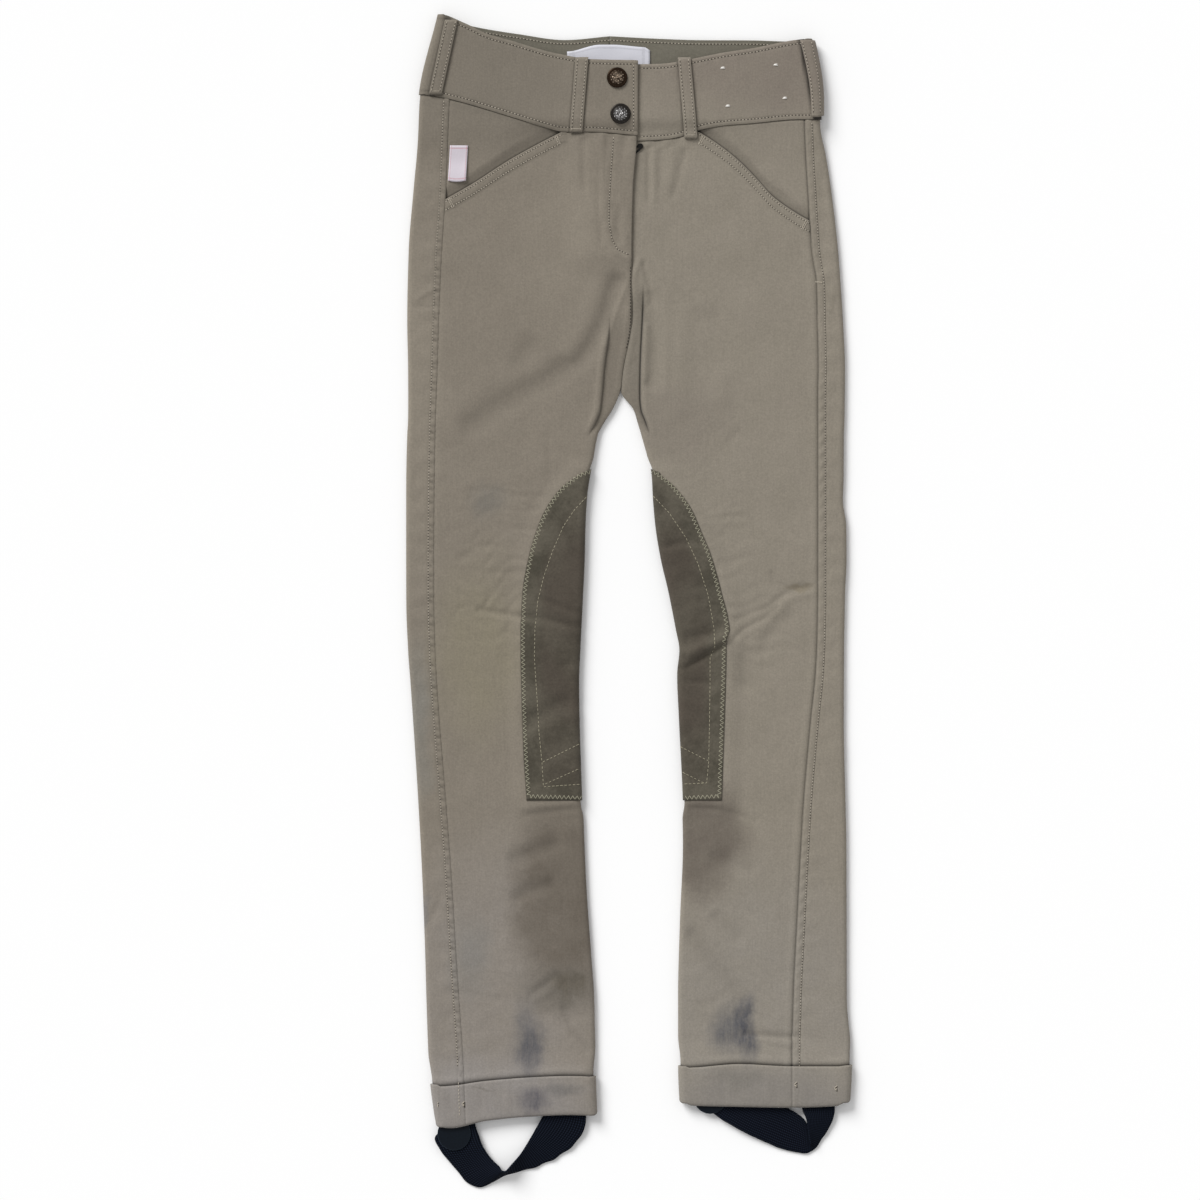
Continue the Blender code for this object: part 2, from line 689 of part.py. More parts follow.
def add_knee_patch(side, name):
    """Suede on the inner knee, wrapped round the inner leg and under it."""
    first = len(front_stations(side)) - 4
    rows = []
    for y in level_rows():
        if PATCH_TOP + 0.1 > y > PATCH_BOTTOM - 0.1:
            stations = front_stations(side)[first:]
            points = [on_layer(side, UPPER, station(y), y, OVER) for station in stations]
            points += [round_fold(side, "inner", angle, y, OVER) for angle in (90, 45, 16, -16, -45, -90)]
            inner = inner_edge(side, LOWER, y) + side * 5.0
            for t in (0.5, 1.0):
                x = mix(inner, back_mark(side, y), t)
                points.append(on_layer(side, LOWER, x, y, OVER))
            rows.append(points)
    add_cloth("knee_patch_" + name, rows, SUEDE, faces_up(side))


def facing_row(side, row, stations):
    mouth = POCKET_MOUTH[side]
    points = []
    for station in stations:
        x, y = settle(side, UPPER, row, station, station(HIP_Y))
        dip = (CLOTH + 0.45) * (1 - smooth((y - mouth.at("y", x) - 1.5) / 12.0))
        points.append(on_layer(side, UPPER, x, y, -dip))
    return points


def add_pocket_facing(side, name):
    """The hip side of the pocket, which dips under the front's edge and a little way on."""
    mouth = POCKET_MOUTH[side]
    start = (mouth.keys[-1] if side == RIGHT else mouth.keys[0]) + side * 1.0

    def row_at(level):
        def row(side, layer, x):
            edge, high = mouth.at("y", x), WAIST_FRONT[side].at("low", x) - SEAM
            room = high - edge + 8.0
            return edge - 8.0 + min(level[0], level[1] * room) + level[2] * max(room - 21.5, 0.2 * room)
        return row

    stations = [station for station in front_stations(side)[:6] if (station(380.0) - start) * side > 4]
    stations.append(lambda y: start)
    levels = ((21.5, 0.8, 1.0), (21.5, 0.8, 0.66), (21.5, 0.8, 0.33), (21.5, 0.8, 0.0),
              (9.5, 0.5, 0.0), (0.0, 0.0, 0.0))
    rows = [facing_row(side, row_at(level), stations) for level in levels]
    add_cloth("pocket_facing_" + name, rows, CLOTH, faces_up(side))


BAND_OUT = (BAND - CLOTH) / 2           # the band's outer face stands this far out of the leg's


def band_point(side, layer, x_low, x_top, part):
    table = (WAIST_FRONT if layer == UPPER else WAIST_BACK)[side]
    x = mix(x_low, x_top, part)
    y = mix(table.at("low", x_low), table.at("top", x_top), part)
    return on_layer(side, layer, x, y, BAND_OUT)


def waist_stops(side, layer):
    """Where the station lines of the leg's panels meet the waist seam, from the body outwards."""
    if layer == UPPER:
        stations = front_stations(side)[::-1] + back_upper_stations(side)
    else:
        stations = back_lower_stations(side)
    table = (WAIST_FRONT if layer == UPPER else WAIST_BACK)[side]
    return [settle(side, layer, lambda side, layer, x: table.at("low", x), station, station(400.0))[0]
            for station in stations]


def add_waistband(side, name):
    """Half of the waistband: from the fly, round the outer fold, to the centre back."""
    stops = [7.0] if side == RIGHT else [BAND_UNDERLAP_X, -8.0]
    stops += waist_stops(side, UPPER)
    fold = -side * (FOLD_RADIUS + 1.0)
    corner_low, corner_top = (-171.4, -155.8) if side == RIGHT else (156.6, 149.6)
    rows = []
    for part in (0.0, 0.2, 0.6, 1.0):
        points = []
        for x in stops:
            across = (x - stops[0]) / (corner_low + fold - stops[0])
            x_top = mix(stops[0], corner_top + fold, across)
            points.append(band_point(side, UPPER, x, x_top, part))
        y = mix(WAIST_FRONT[side].at("low", corner_low), WAIST_FRONT[side].at("top", corner_top), part)
        points += [round_fold(side, "outer", angle, y, BAND_OUT) for angle in (90, 45, 0, -45, -90)]
        seam = -15.6 + side * SEAM / 2
        for x in (*waist_stops(side, LOWER), seam):
            x_top = mix(corner_top, seam, (x - corner_low) / (seam - corner_low))
            points.append(band_point(side, LOWER, x, x_top, part))
        rows.append(points)
    add_cloth("waistband_" + name, [row[::-1] for row in rows[::-1]], BAND, not faces_up(side))


def add_belt_loop(name, side, layer, top, bottom):
    """A strip laid down the band, a little proud of it between its two sewn ends."""
    rows = []
    for i in range(8):
        t = i / 7
        x, y = mix(top[0], bottom[0], t), mix(top[1], bottom[1], t)
        arch = 0.35 + LOOP_ARCH * math.sin(math.pi * t) if layer == UPPER else 0.0
        out = BAND_OUT + BAND / 2 + LAY + 0.15 + LOOP_CLOTH / 2 + arch
        rows.append([on_layer(side, layer, x + across, y, out)
                     for across in (-LOOP_WIDTH / 2, 0.0, LOOP_WIDTH / 2)])
    add_cloth(name, rows, LOOP_CLOTH, layer == LOWER)


def add_folded_loop(name, side, top, bottom, start, end):
    """A loop that lies over the folded side of the band: its width runs round the fold."""
    rows = []
    for i in range(8):
        t = i / 7
        y = mix(top, bottom, t)
        out = BAND_OUT + BAND / 2 + LAY + 0.15 + LOOP_CLOTH / 2 + 1.2 * LOOP_ARCH * math.sin(math.pi * t)
        angles = [mix(start, end, step / 4) for step in range(5)]
        edge = outer_edge(side, y)
        flat = (edge - side * (FOLD_RADIUS + mix(3.5, 0.5, t)), y)
        rows.append([on_layer(side, UPPER, *flat, out),
                     *[round_fold(side, "outer", angle, y, out) for angle in angles]])
    add_cloth(name, rows, LOOP_CLOTH, side == RIGHT)


def add_stud_cap(name, place):
    """A turned cap: a rolled rim, a plain ring and a low dome."""
    x, y = place
    seat = height_at(RIGHT, UPPER, x, y, BAND_OUT) + BAND / 2 + SEAM
    radius = STUD_RADIUS
    profile = ((0.0, 2.3), (0.30, 2.15), (0.52, 1.75), (0.60, 2.0), (0.80, 1.75),
               (0.95, 1.0), (1.0, 0.45), (0.96, 0.0), (0.0, 0.0))
    mesh = bpy.data.meshes.new(name)
    points = [Vector((share * radius, 0.0, height)) * MM for share, height in profile]
    mesh.from_pydata(points, [(i, i + 1) for i in range(len(points) - 1)], [])
    cap = add_object(name, mesh)
    cap.location = Vector((x, y, seat)) * MM
    turn = cap.modifiers.new("turn", "SCREW")
    turn.steps = turn.render_steps = 20
    turn.use_merge_vertices = True
    turn.merge_threshold = 0.00001
    turn.use_smooth_shade = True


def fly_base(y):
    """Middle height of the left front beside the zip."""
    return CLOTH / 2 + LAYER_GAP


def add_zip():
    base = fly_base(SLIDER.y)
    rows = []
    for step in range(5):
        y = mix(ZIP_TOP, ZIP_BOTTOM, step / 4)
        shift = SECTIONS[RIGHT].at("inner", y) - SECTIONS[RIGHT].at("inner", SLIDER.y)
        middle = ZIP_X + shift
        rows.append([(middle + x, y, base - 1.4) for x in (-ZIP_HALF_WIDTH, 0.0, ZIP_HALF_WIDTH)])
    add_cloth("zip_tape", rows, 1.0, False)
    add_slider(base)
    add_pull_tab(base)


def add_slider(base):
    """The slider's plate, with the post that carries the pull tab."""
    width, length, height = SLIDER_PLATE
    low = base - 1.4 + 0.5 + SEAM
    mesh = bpy.data.meshes.new("zip_slider")
    form = bmesh.new()
    bmesh.ops.create_cube(form, size=MM)
    bmesh.ops.scale(form, vec=(width, length, height), verts=form.verts)
    form.to_mesh(mesh)
    form.free()
    plate = add_object("zip_slider", mesh)
    plate.location = Vector((SLIDER.x, SLIDER.y, low + height / 2)) * MM
    edges = plate.modifiers.new("edges", "BEVEL")
    edges.width = 0.35 * MM
    edges.segments = 1
    top = base + TAB_THICKNESS + 0.95
    post = add_cutter("slider_post", POST_RADIUS, top - low - 0.5)
    post.location = Vector((SLIDER.x, SLIDER.y, (top + low + 0.5) / 2)) * MM
    union = plate.modifiers.new("post", "BOOLEAN")
    union.operation = "UNION"
    union.object = post


def add_cutter(name, radius, depth):
    mesh = bpy.data.meshes.new(name)
    form = bmesh.new()
    bmesh.ops.create_cone(form, cap_ends=True, segments=16, radius1=radius * MM,
                          radius2=radius * MM, depth=depth * MM)
    form.to_mesh(mesh)
    form.free()
    cutter = bpy.data.objects.new(name, mesh)
    cutter.display_type = "WIRE"
    cutter.hide_render = True
    CUTTERS.objects.link(cutter)
    return cutter


def arc(centre, radius, start, end, steps):
    angles = [math.radians(mix(start, end, i / steps)) for i in range(steps + 1)]
    return [(centre + radius * math.cos(a), radius * math.sin(a)) for a in angles]


def add_pull_tab(base):
    """A flat tab on the slider's post: an eye at one end, rounded at the other, with a slot."""
    half = TAB_WIDTH / 2
    flat = bpy.data.curves.new("pull_tab", "CURVE")
    flat.dimensions = "2D"
    flat.fill_mode = "BOTH"
    flat.extrude = TAB_THICKNESS / 2 * MM
    outline = arc(0.0, half, 90, 270, 10) + arc(TAB_LENGTH - half, half, -90, 90, 10)
    eye = arc(0.0, TAB_EYE, 0, 337.5, 15)
    slot = arc(8.0, 0.7, 90, 270, 5) + arc(TAB_LENGTH - 5.0, 0.7, -90, 90, 5)
    for ring in (outline, eye, slot):
        spline = flat.splines.new("POLY")
        spline.points.add(len(ring) - 1)
        for point, (x, y) in zip(spline.points, ring):
            point.co = (x * MM, y * MM, 0.0, 1.0)
        spline.use_cyclic_u = True
    tab = bpy.data.objects.new("pull_tab", flat)
    flat.materials.append(material("pull_tab"))
    PARTS.objects.link(tab)
    tab.location = Vector((SLIDER.x, SLIDER.y, base + CLOTH / 2 + SEAM + TAB_THICKNESS / 2)) * MM
    tab.rotation_euler.z = math.radians(TAB_ANGLE)


def add_strap(side, name):
    rows = [[Vector(row[:3]).lerp(Vector(row[3:]), step / 3) for step in range(4)]
            for row in STRAPS[side][1:]]
    add_cloth("stirrup_strap_" + name, rows, WEBBING, side == RIGHT)


def add_disc(side, name):
    """A round grip disc that lies on the webbing where it leaves the hem."""
    x, y = DISCS[side]
    mesh = bpy.data.meshes.new(name)
    form = bmesh.new()
    bmesh.ops.create_cone(form, cap_ends=True, segments=28, radius1=DISC_RADIUS * MM,
                          radius2=DISC_RADIUS * MM, depth=DISC_THICKNESS * MM)
    form.to_mesh(mesh)
    form.free()
    disc = add_object("strap_disc_" + name, mesh)
    height = HEM_HEIGHT + WEBBING / 2 + SEAM + DISC_THICKNESS / 2
    disc.location = Vector((x, y, height)) * MM
    rim = disc.modifiers.new("rim", "BEVEL")
    rim.width = 0.25 * MM
    rim.segments = 1


def add_labels():
    """The satin label inside the back waistband, and the folded one in the right side seam."""
    out = -(BAND / 2 - BAND_OUT + LAY + LABEL / 2)
    rows = []
    for top, bottom in ((1.0, 0.0), (0.5, 0.5), (0.0, 1.0)):
        row = []
        for step in range(5):
            x = mix(-50.8, 17.2, step / 4)
            y = top * mix(456.4, 451.4, step / 4) + bottom * 424.0
            row.append(on_layer(RIGHT, LOWER, x, y, out))
        rows.append(row)
    add_cloth("waist_label", rows, LABEL, False)
    out = CLOTH / 2 + LAY + LABEL / 2 + 0.2
    rows = []
    for y in (371.0, 362.0, 353.0, 344.0):
        lean = (y - 358.7) * 0.06
        rows.append([on_layer(RIGHT, UPPER, x + lean, y, out) for x in (-147.0, -140.0, -133.0)])
    add_cloth("side_label", rows, LABEL, False)


FINISH_OF = {
    "knee_patch_right": "suede", "knee_patch_left": "suede",
    "stirrup_strap_right": "elastic", "stirrup_strap_left": "elastic",
    "strap_disc_right": "rubber", "strap_disc_left": "rubber",
    "stud_cap_upper": "brass", "stud_cap_lower": "brass", "zip_slider": "brass",
    "waist_label": "satin", "side_label": "satin", "zip_tape": "tape", "pull_tab": "enamel"}


def build():
    for side, name in ((RIGHT, "right"), (LEFT, "left")):
        add_legs(side, name)
        add_knee_patch(side, name)
        add_pocket_facing(side, name)
        add_waistband(side, name)
        add_strap(side, name)
        add_disc(side, name)
    add_belt_loop("belt_loop_front_right", RIGHT, UPPER, (-38.5, 445.0), (-43.4, 387.0))
    add_belt_loop("belt_loop_front_left", LEFT, UPPER, (45.1, 442.4), (50.6, 387.4))
    add_belt_loop("belt_loop_side_right", RIGHT, UPPER, (-145.5, 476.0), (-158.6, 415.0))
    add_belt_loop("belt_loop_back_right", RIGHT, LOWER, (-91.8, 465.0), (-91.8, 405.5))
    add_belt_loop("belt_loop_back_left", LEFT, LOWER, (74.6, 460.0), (74.6, 398.8))
    add_folded_loop("belt_loop_side_left", LEFT, 459.5, 396.5, 90.0, -20.0)
    for name, place in STUDS.items():
        add_stud_cap(name, place)
    add_zip()
    add_labels()


for leftover in list(bpy.data.objects):
    bpy.data.objects.remove(leftover, do_unlink=True)
PARTS = new_collection("riding_breeches")
CUTTERS = new_collection("cutters")
build()
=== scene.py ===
"""A child's riding breeches laid flat on their back: cloth, stitching and finish.

Sizes are in millimetres until a mesh is made, when MM turns them to metres. +X is the wearer's
left, +Y runs from hem to waist, +Z is up. "Right" and "left" are the wearer's.
"""
import math
from functools import partial

import bmesh
import bpy
import numpy as np
from mathutils import Matrix, Vector


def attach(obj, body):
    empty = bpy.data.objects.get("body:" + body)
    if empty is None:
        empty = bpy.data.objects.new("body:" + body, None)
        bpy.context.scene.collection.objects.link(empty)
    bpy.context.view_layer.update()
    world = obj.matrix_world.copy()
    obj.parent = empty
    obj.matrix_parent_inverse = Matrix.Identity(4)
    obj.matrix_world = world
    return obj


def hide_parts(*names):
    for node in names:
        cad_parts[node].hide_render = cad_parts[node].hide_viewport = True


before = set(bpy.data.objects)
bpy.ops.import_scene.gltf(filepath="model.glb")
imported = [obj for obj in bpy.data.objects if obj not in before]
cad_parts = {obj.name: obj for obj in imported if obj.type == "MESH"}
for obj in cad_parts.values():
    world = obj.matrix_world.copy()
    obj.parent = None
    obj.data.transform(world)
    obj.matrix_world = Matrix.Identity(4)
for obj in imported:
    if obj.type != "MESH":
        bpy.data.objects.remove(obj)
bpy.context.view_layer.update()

MM = 0.001
RIGHT, LEFT = -1, 1                     # side of the body: the sign of its outer edge in X
UPPER, LOWER = 1, -1                    # layer of a leg: the sign of its face in Z
SIDE_NAMES = {RIGHT: "right", LEFT: "left"}

# Camera
CAMERA_X, CAMERA_Y, FIELD = -23.8, 1.2, 984.0
LENS, SENSOR = 100.0, 36.0

# Cloth and layers, as in the part's solids
CLOTH = 1.2
BAND = 2.0
SUEDE = 1.2
WEBBING = 1.2
SEAM = 0.3
LAY = 0.35
OVER = CLOTH / 2 + LAY + SUEDE / 2
BAND_OUT = (BAND - CLOTH) / 2
LAYER_GAP = 4.4
FOLD_RADIUS = 3.5
FOLD_SLACK = 0.4
FLY_RAISE = 3.0
FLY_FULL_X, FLY_NONE_X = -26.0, -60.0
FLY_FULL_Y, FLY_NONE_Y = 287.0, 262.0
FLY_UNDERLAP = 5.0
BAND_UNDERLAP_X, BAND_END_X, BAND_CENTRE_X = -22.0, 7.0, -15.6
ZIP_X, ZIP_Y = -5.7, 359.6
APEX_X, APEX_Y = -6.9, 171.8
CROTCH_Y, CROTCH_TURN = 137.0, 20.0
HIP_Y, CALF_Y = 288.0, -355.0
PATCH_TOP, PATCH_BOTTOM = 104.0, -163.0
PATCH_WRAP = 42.0
MARK_STEP = 1.8
WAIST_LIFT = 2.7
STUD_RADIUS = 8.4
LOOP_WIDTH, LOOP_LENGTH, LOOP_CLOTH, LOOP_ARCH = 10.2, 58.0, 1.4, 0.3


class Table:
    """Named columns against a first, sorted one, read as smooth curves without overshoot."""

    def __init__(self, names, *rows):
        values = np.array(sorted(rows), dtype=float)
        self.keys = values[:, 0]
        self.columns = dict(zip(names.split(), values.T))
        self.slopes = {name: self.slope(column) for name, column in self.columns.items()}

    def slope(self, values):
        steps = np.diff(values) / np.diff(self.keys)
        before, after = steps[:-1], steps[1:]
        same = before * after > 0
        total = np.where(same, before + after, 1.0)
        inner = np.where(same, 2 * before * after / total, 0.0)
        return np.concatenate((steps[:1], inner, steps[-1:]))

    def at(self, name, key):
        key = np.clip(key, self.keys[0], self.keys[-1])
        i = np.clip(np.searchsorted(self.keys, key, side="right") - 1, 0, len(self.keys) - 2)
        span = self.keys[i + 1] - self.keys[i]
        t = (key - self.keys[i]) / span
        values, slopes = self.columns[name], self.slopes[name]
        rise = values[i + 1] - values[i]
        start, end = slopes[i] * span, slopes[i + 1] * span
        bend = t * t * (3 * rise - 2 * start - end) + t ** 3 * (start + end - 2 * rise)
        return values[i] + t * start + bend


def tables(names, right, left):
    """A table for each leg or side, the wearer's right one first."""
    return {RIGHT: Table(names, *right), LEFT: Table(names, *left)}


# Cross sections of the two legs: the outer edge, the side seam on the upper layer, the mark line
# (the crotch pleat above, the edge of the knee patch below) and the inner edge. Above the crotch
# the inner edge is the centre front.
SECTIONS = tables("y outer seam mark inner", (
    (481, -155.8, -141, -34, 7),
    (413, -171.4, -146.8, -32, 6.6),
    (378, -173.2, -148.4, -30, 6.2),
    (337, -176.9, -150.1, -28, 3.2),
    (288, -180.8, -153.3, -25, 2.2),
    (231, -182, -155.8, -17, 2.2),
    (190, -181.3, -157, -21.5, -4.6),
    (171.8, -181.2, -157.7, -23, -6.9),
    (168, -181.2, -157.8, -23.4, -8.2),
    (158, -181.2, -158.2, -24.5, -12.8),
    (147, -181.4, -158.6, -28.5, -20),
    (137, -182, -158.8, -33.5, -25.5),
    (104, -182.8, -159.4, -41, -31),
    (88, -182.9, -159.6, -56, -33.4),
    (62, -182.9, -159.8, -70.5, -35),
    (35, -182.9, -159.9, -80, -35.6),
    (0, -182.8, -159.8, -87.3, -37.2),
    (-40, -181.3, -158.8, -88.4, -39.2),
    (-66, -179.4, -157.5, -88, -40.2),
    (-163, -173, -150.1, -83.6, -37.7),
    (-228, -169.6, -145.3, -76, -35.2),
    (-292, -167.2, -141.5, -70, -30.8),
    (-325, -166.3, -139.3, -68, -28.5),
    (-386, -163.9, -135.4, -64, -27.2),
    (-432, -158.3, -133.7, -62, -25.4)), (
    (481, 141, 130, 22, 7),
    (457, 150, 138, 22, 7),
    (413, 156.4, 143.3, 22, 6.6),
    (390, 156.8, 144, 21, 6.4),
    (366, 161.5, 145, 20, 5.4),
    (337, 166, 146.8, 18, 3.2),
    (288, 171.6, 150.1, 15, 2.2),
    (260, 173.7, 154, 13.5, 2.2),
    (231, 175.6, 154.7, 12.4, 2.2),
    (190, 177.3, 155.4, 10.6, -4.6),
    (171.8, 177.2, 155, 10.4, -6.9),
    (168, 177.1, 155, 10.4, -4.9),
    (158, 177, 155, 11.2, 3),
    (147, 176.8, 155, 15, 6.8),
    (137, 176.4, 155, 18.3, 10),
    (104, 176.2, 155, 28, 17.8),
    (83, 175.6, 155, 42.3, 19),
    (62, 178.3, 155, 54.8, 20.9),
    (35, 178.6, 155, 68.6, 25.3),
    (8, 177.4, 155, 78.3, 31.6),
    (-22, 176.8, 154.6, 84, 37.5),
    (-40, 176.5, 154.1, 80.7, 40.6),
    (-60, 176.4, 153, 80.2, 38.8),
    (-97, 176.3, 149.2, 78.9, 40.3),
    (-163, 177.6, 143.5, 77.3, 43.4),
    (-200, 178.4, 141.2, 77, 44.2),
    (-261, 178.6, 138, 78, 41.8),
    (-325, 178.8, 134.9, 80, 40.2),
    (-380, 182.9, 133.7, 82, 40.2),
    (-416, 181.4, 133.7, 82, 41.4)))

# The waist seam and the top edge of the band, in front and behind.
WAIST_FRONT = tables("x low top", (
    (-171.4, 415.3, 481),
    (-155.8, 413.4, 480.9),
    (-134.2, 408.3, 473.3),
    (-116.7, 403.2, 464.9),
    (-95.9, 396.8, 458.9),
    (-67.2, 388.3, 450.4),
    (-53.3, 385.2, 447.4),
    (-31.5, 384.9, 443.5),
    (7, 381.8, 442.6)), (
    (-22, 378.2, 439.8),
    (7.4, 377.8, 439.8),
    (28.7, 378.8, 440.4),
    (45.5, 382.1, 443),
    (54.9, 386, 444.9),
    (76.8, 389.9, 449.2),
    (100.9, 391.7, 452.9),
    (137.8, 394.9, 459.9),
    (156.6, 395, 461.5)))
WAIST_BACK = tables("x low top", (
    (-171.4, 415.3, 480.9),
    (-155.8, 413.6, 480.9),
    (-129.6, 410, 472.1),
    (-89.9, 404.5, 465.3),
    (-53, 401.2, 460.6),
    (-15.6, 400, 463.7)), (
    (-15.6, 400, 463.7),
    (20, 399.4, 461.8),
    (58.2, 398.4, 460.5),
    (100, 397, 460.3),
    (132, 396, 459.4),
    (156.6, 395, 461.5)))

# The edge of each pocket mouth, and the top and the bottom of each turned-up hem.
POCKET_MOUTH = tables("x y", (
    (-151.5, 329),
    (-128.9, 341.9),
    (-96.3, 362.8),
    (-70.1, 377.2),
    (-54.5, 385)), (
    (56, 385.6),
    (71.1, 376),
    (88.1, 362.8),
    (105, 345.9),
    (116.8, 332.8),
    (136.4, 318.6),
    (149.5, 311)))
CUFF = tables("x top hem", (
    (-165, -393.7, -426.5),
    (-155, -397.3, -430.8),
    (-146, -396.8, -431.2),
    (-118, -392.9, -425.5),
    (-80, -389.9, -421.7),
    (-50, -388.8, -420.5),
    (-25, -389.3, -421.3)), (
    (40, -379.4, -408.5),
    (47, -382, -412.6),
    (90, -379, -413.8),
    (134, -380.9, -414.5),
    (172, -380.9, -413),
    (183, -379.7, -409)))

# The stirrup straps: stations along the webbing, each with X, Y and Z of its outer edge and of
# its inner edge, which stands up where the webbing turns.
STRAPS = {
    RIGHT: (
        (-150, -411, 3.7, -128, -411, 3.7),
        (-152.5, -424, 3.7, -127, -424, 3.7),
        (-153.8, -432.2, 3.7, -125.6, -431, 3.7),
        (-159.5, -440.5, 3.7, -123, -438.5, 3.7),
        (-155, -449.5, 3.7, -120.6, -445.5, 3.7),
        (-149, -458, 2.2, -116.5, -452.5, 3.6),
        (-140, -468.5, 1, -112.5, -457.5, 4.4),
        (-133, -476.8, 0.7, -109, -460.8, 5.6),
        (-123, -481, 0.7, -106, -463.4, 7.6),
        (-112, -476.6, 0.7, -104.2, -466, 9.8),
        (-102, -471, 0.7, -101.4, -466.6, 11),
        (-92.5, -468.6, 0.7, -94.8, -459.8, 9.6),
        (-82, -465.8, 0.7, -89, -453.2, 6.8),
        (-70, -461.8, 0.7, -84, -445.5, 4.6),
        (-58, -455.5, 1, -79.6, -438, 3.8),
        (-46.5, -447, 1.8, -76, -431.6, 3.7),
        (-38.5, -436.5, 2.8, -72.5, -425.4, 3.7),
        (-35, -424.5, 3.7, -69, -419, 3.7),
        (-34.6, -408, 3.7, -62, -408, 3.7)),
    LEFT: (
        (51.5, -402, 3.7, 66, -380.5, 3.7),
        (59, -411, 3.7, 76, -388, 3.7),
        (70.5, -421, 3.7, 88, -396, 3.7),
        (84.4, -430, 3.7, 100, -403.5, 3.7),
        (100.7, -438.5, 2.9, 113, -410, 3.7),
        (115.6, -445.5, 1.7, 125, -413.5, 3.5),
        (128.3, -450.2, 0.9, 135, -418.5, 3.1),
        (139, -452.6, 0.7, 143, -424.2, 2.7),
        (146, -453, 0.7, 147, -431, 2.6),
        (150, -451.4, 0.7, 148.8, -441, 3.2),
        (153, -448.8, 0.8, 149, -444.5, 4.6),
        (157, -443, 1.2, 147.8, -439, 5.6),
        (162.6, -434.5, 1.9, 146.6, -431, 5.8),
        (167.2, -425, 2.8, 145.2, -424, 5.2),
        (168.9, -415.5, 3.6, 142, -416, 4.2),
        (168.9, -402, 3.7, 140.8, -404, 3.7)),
}

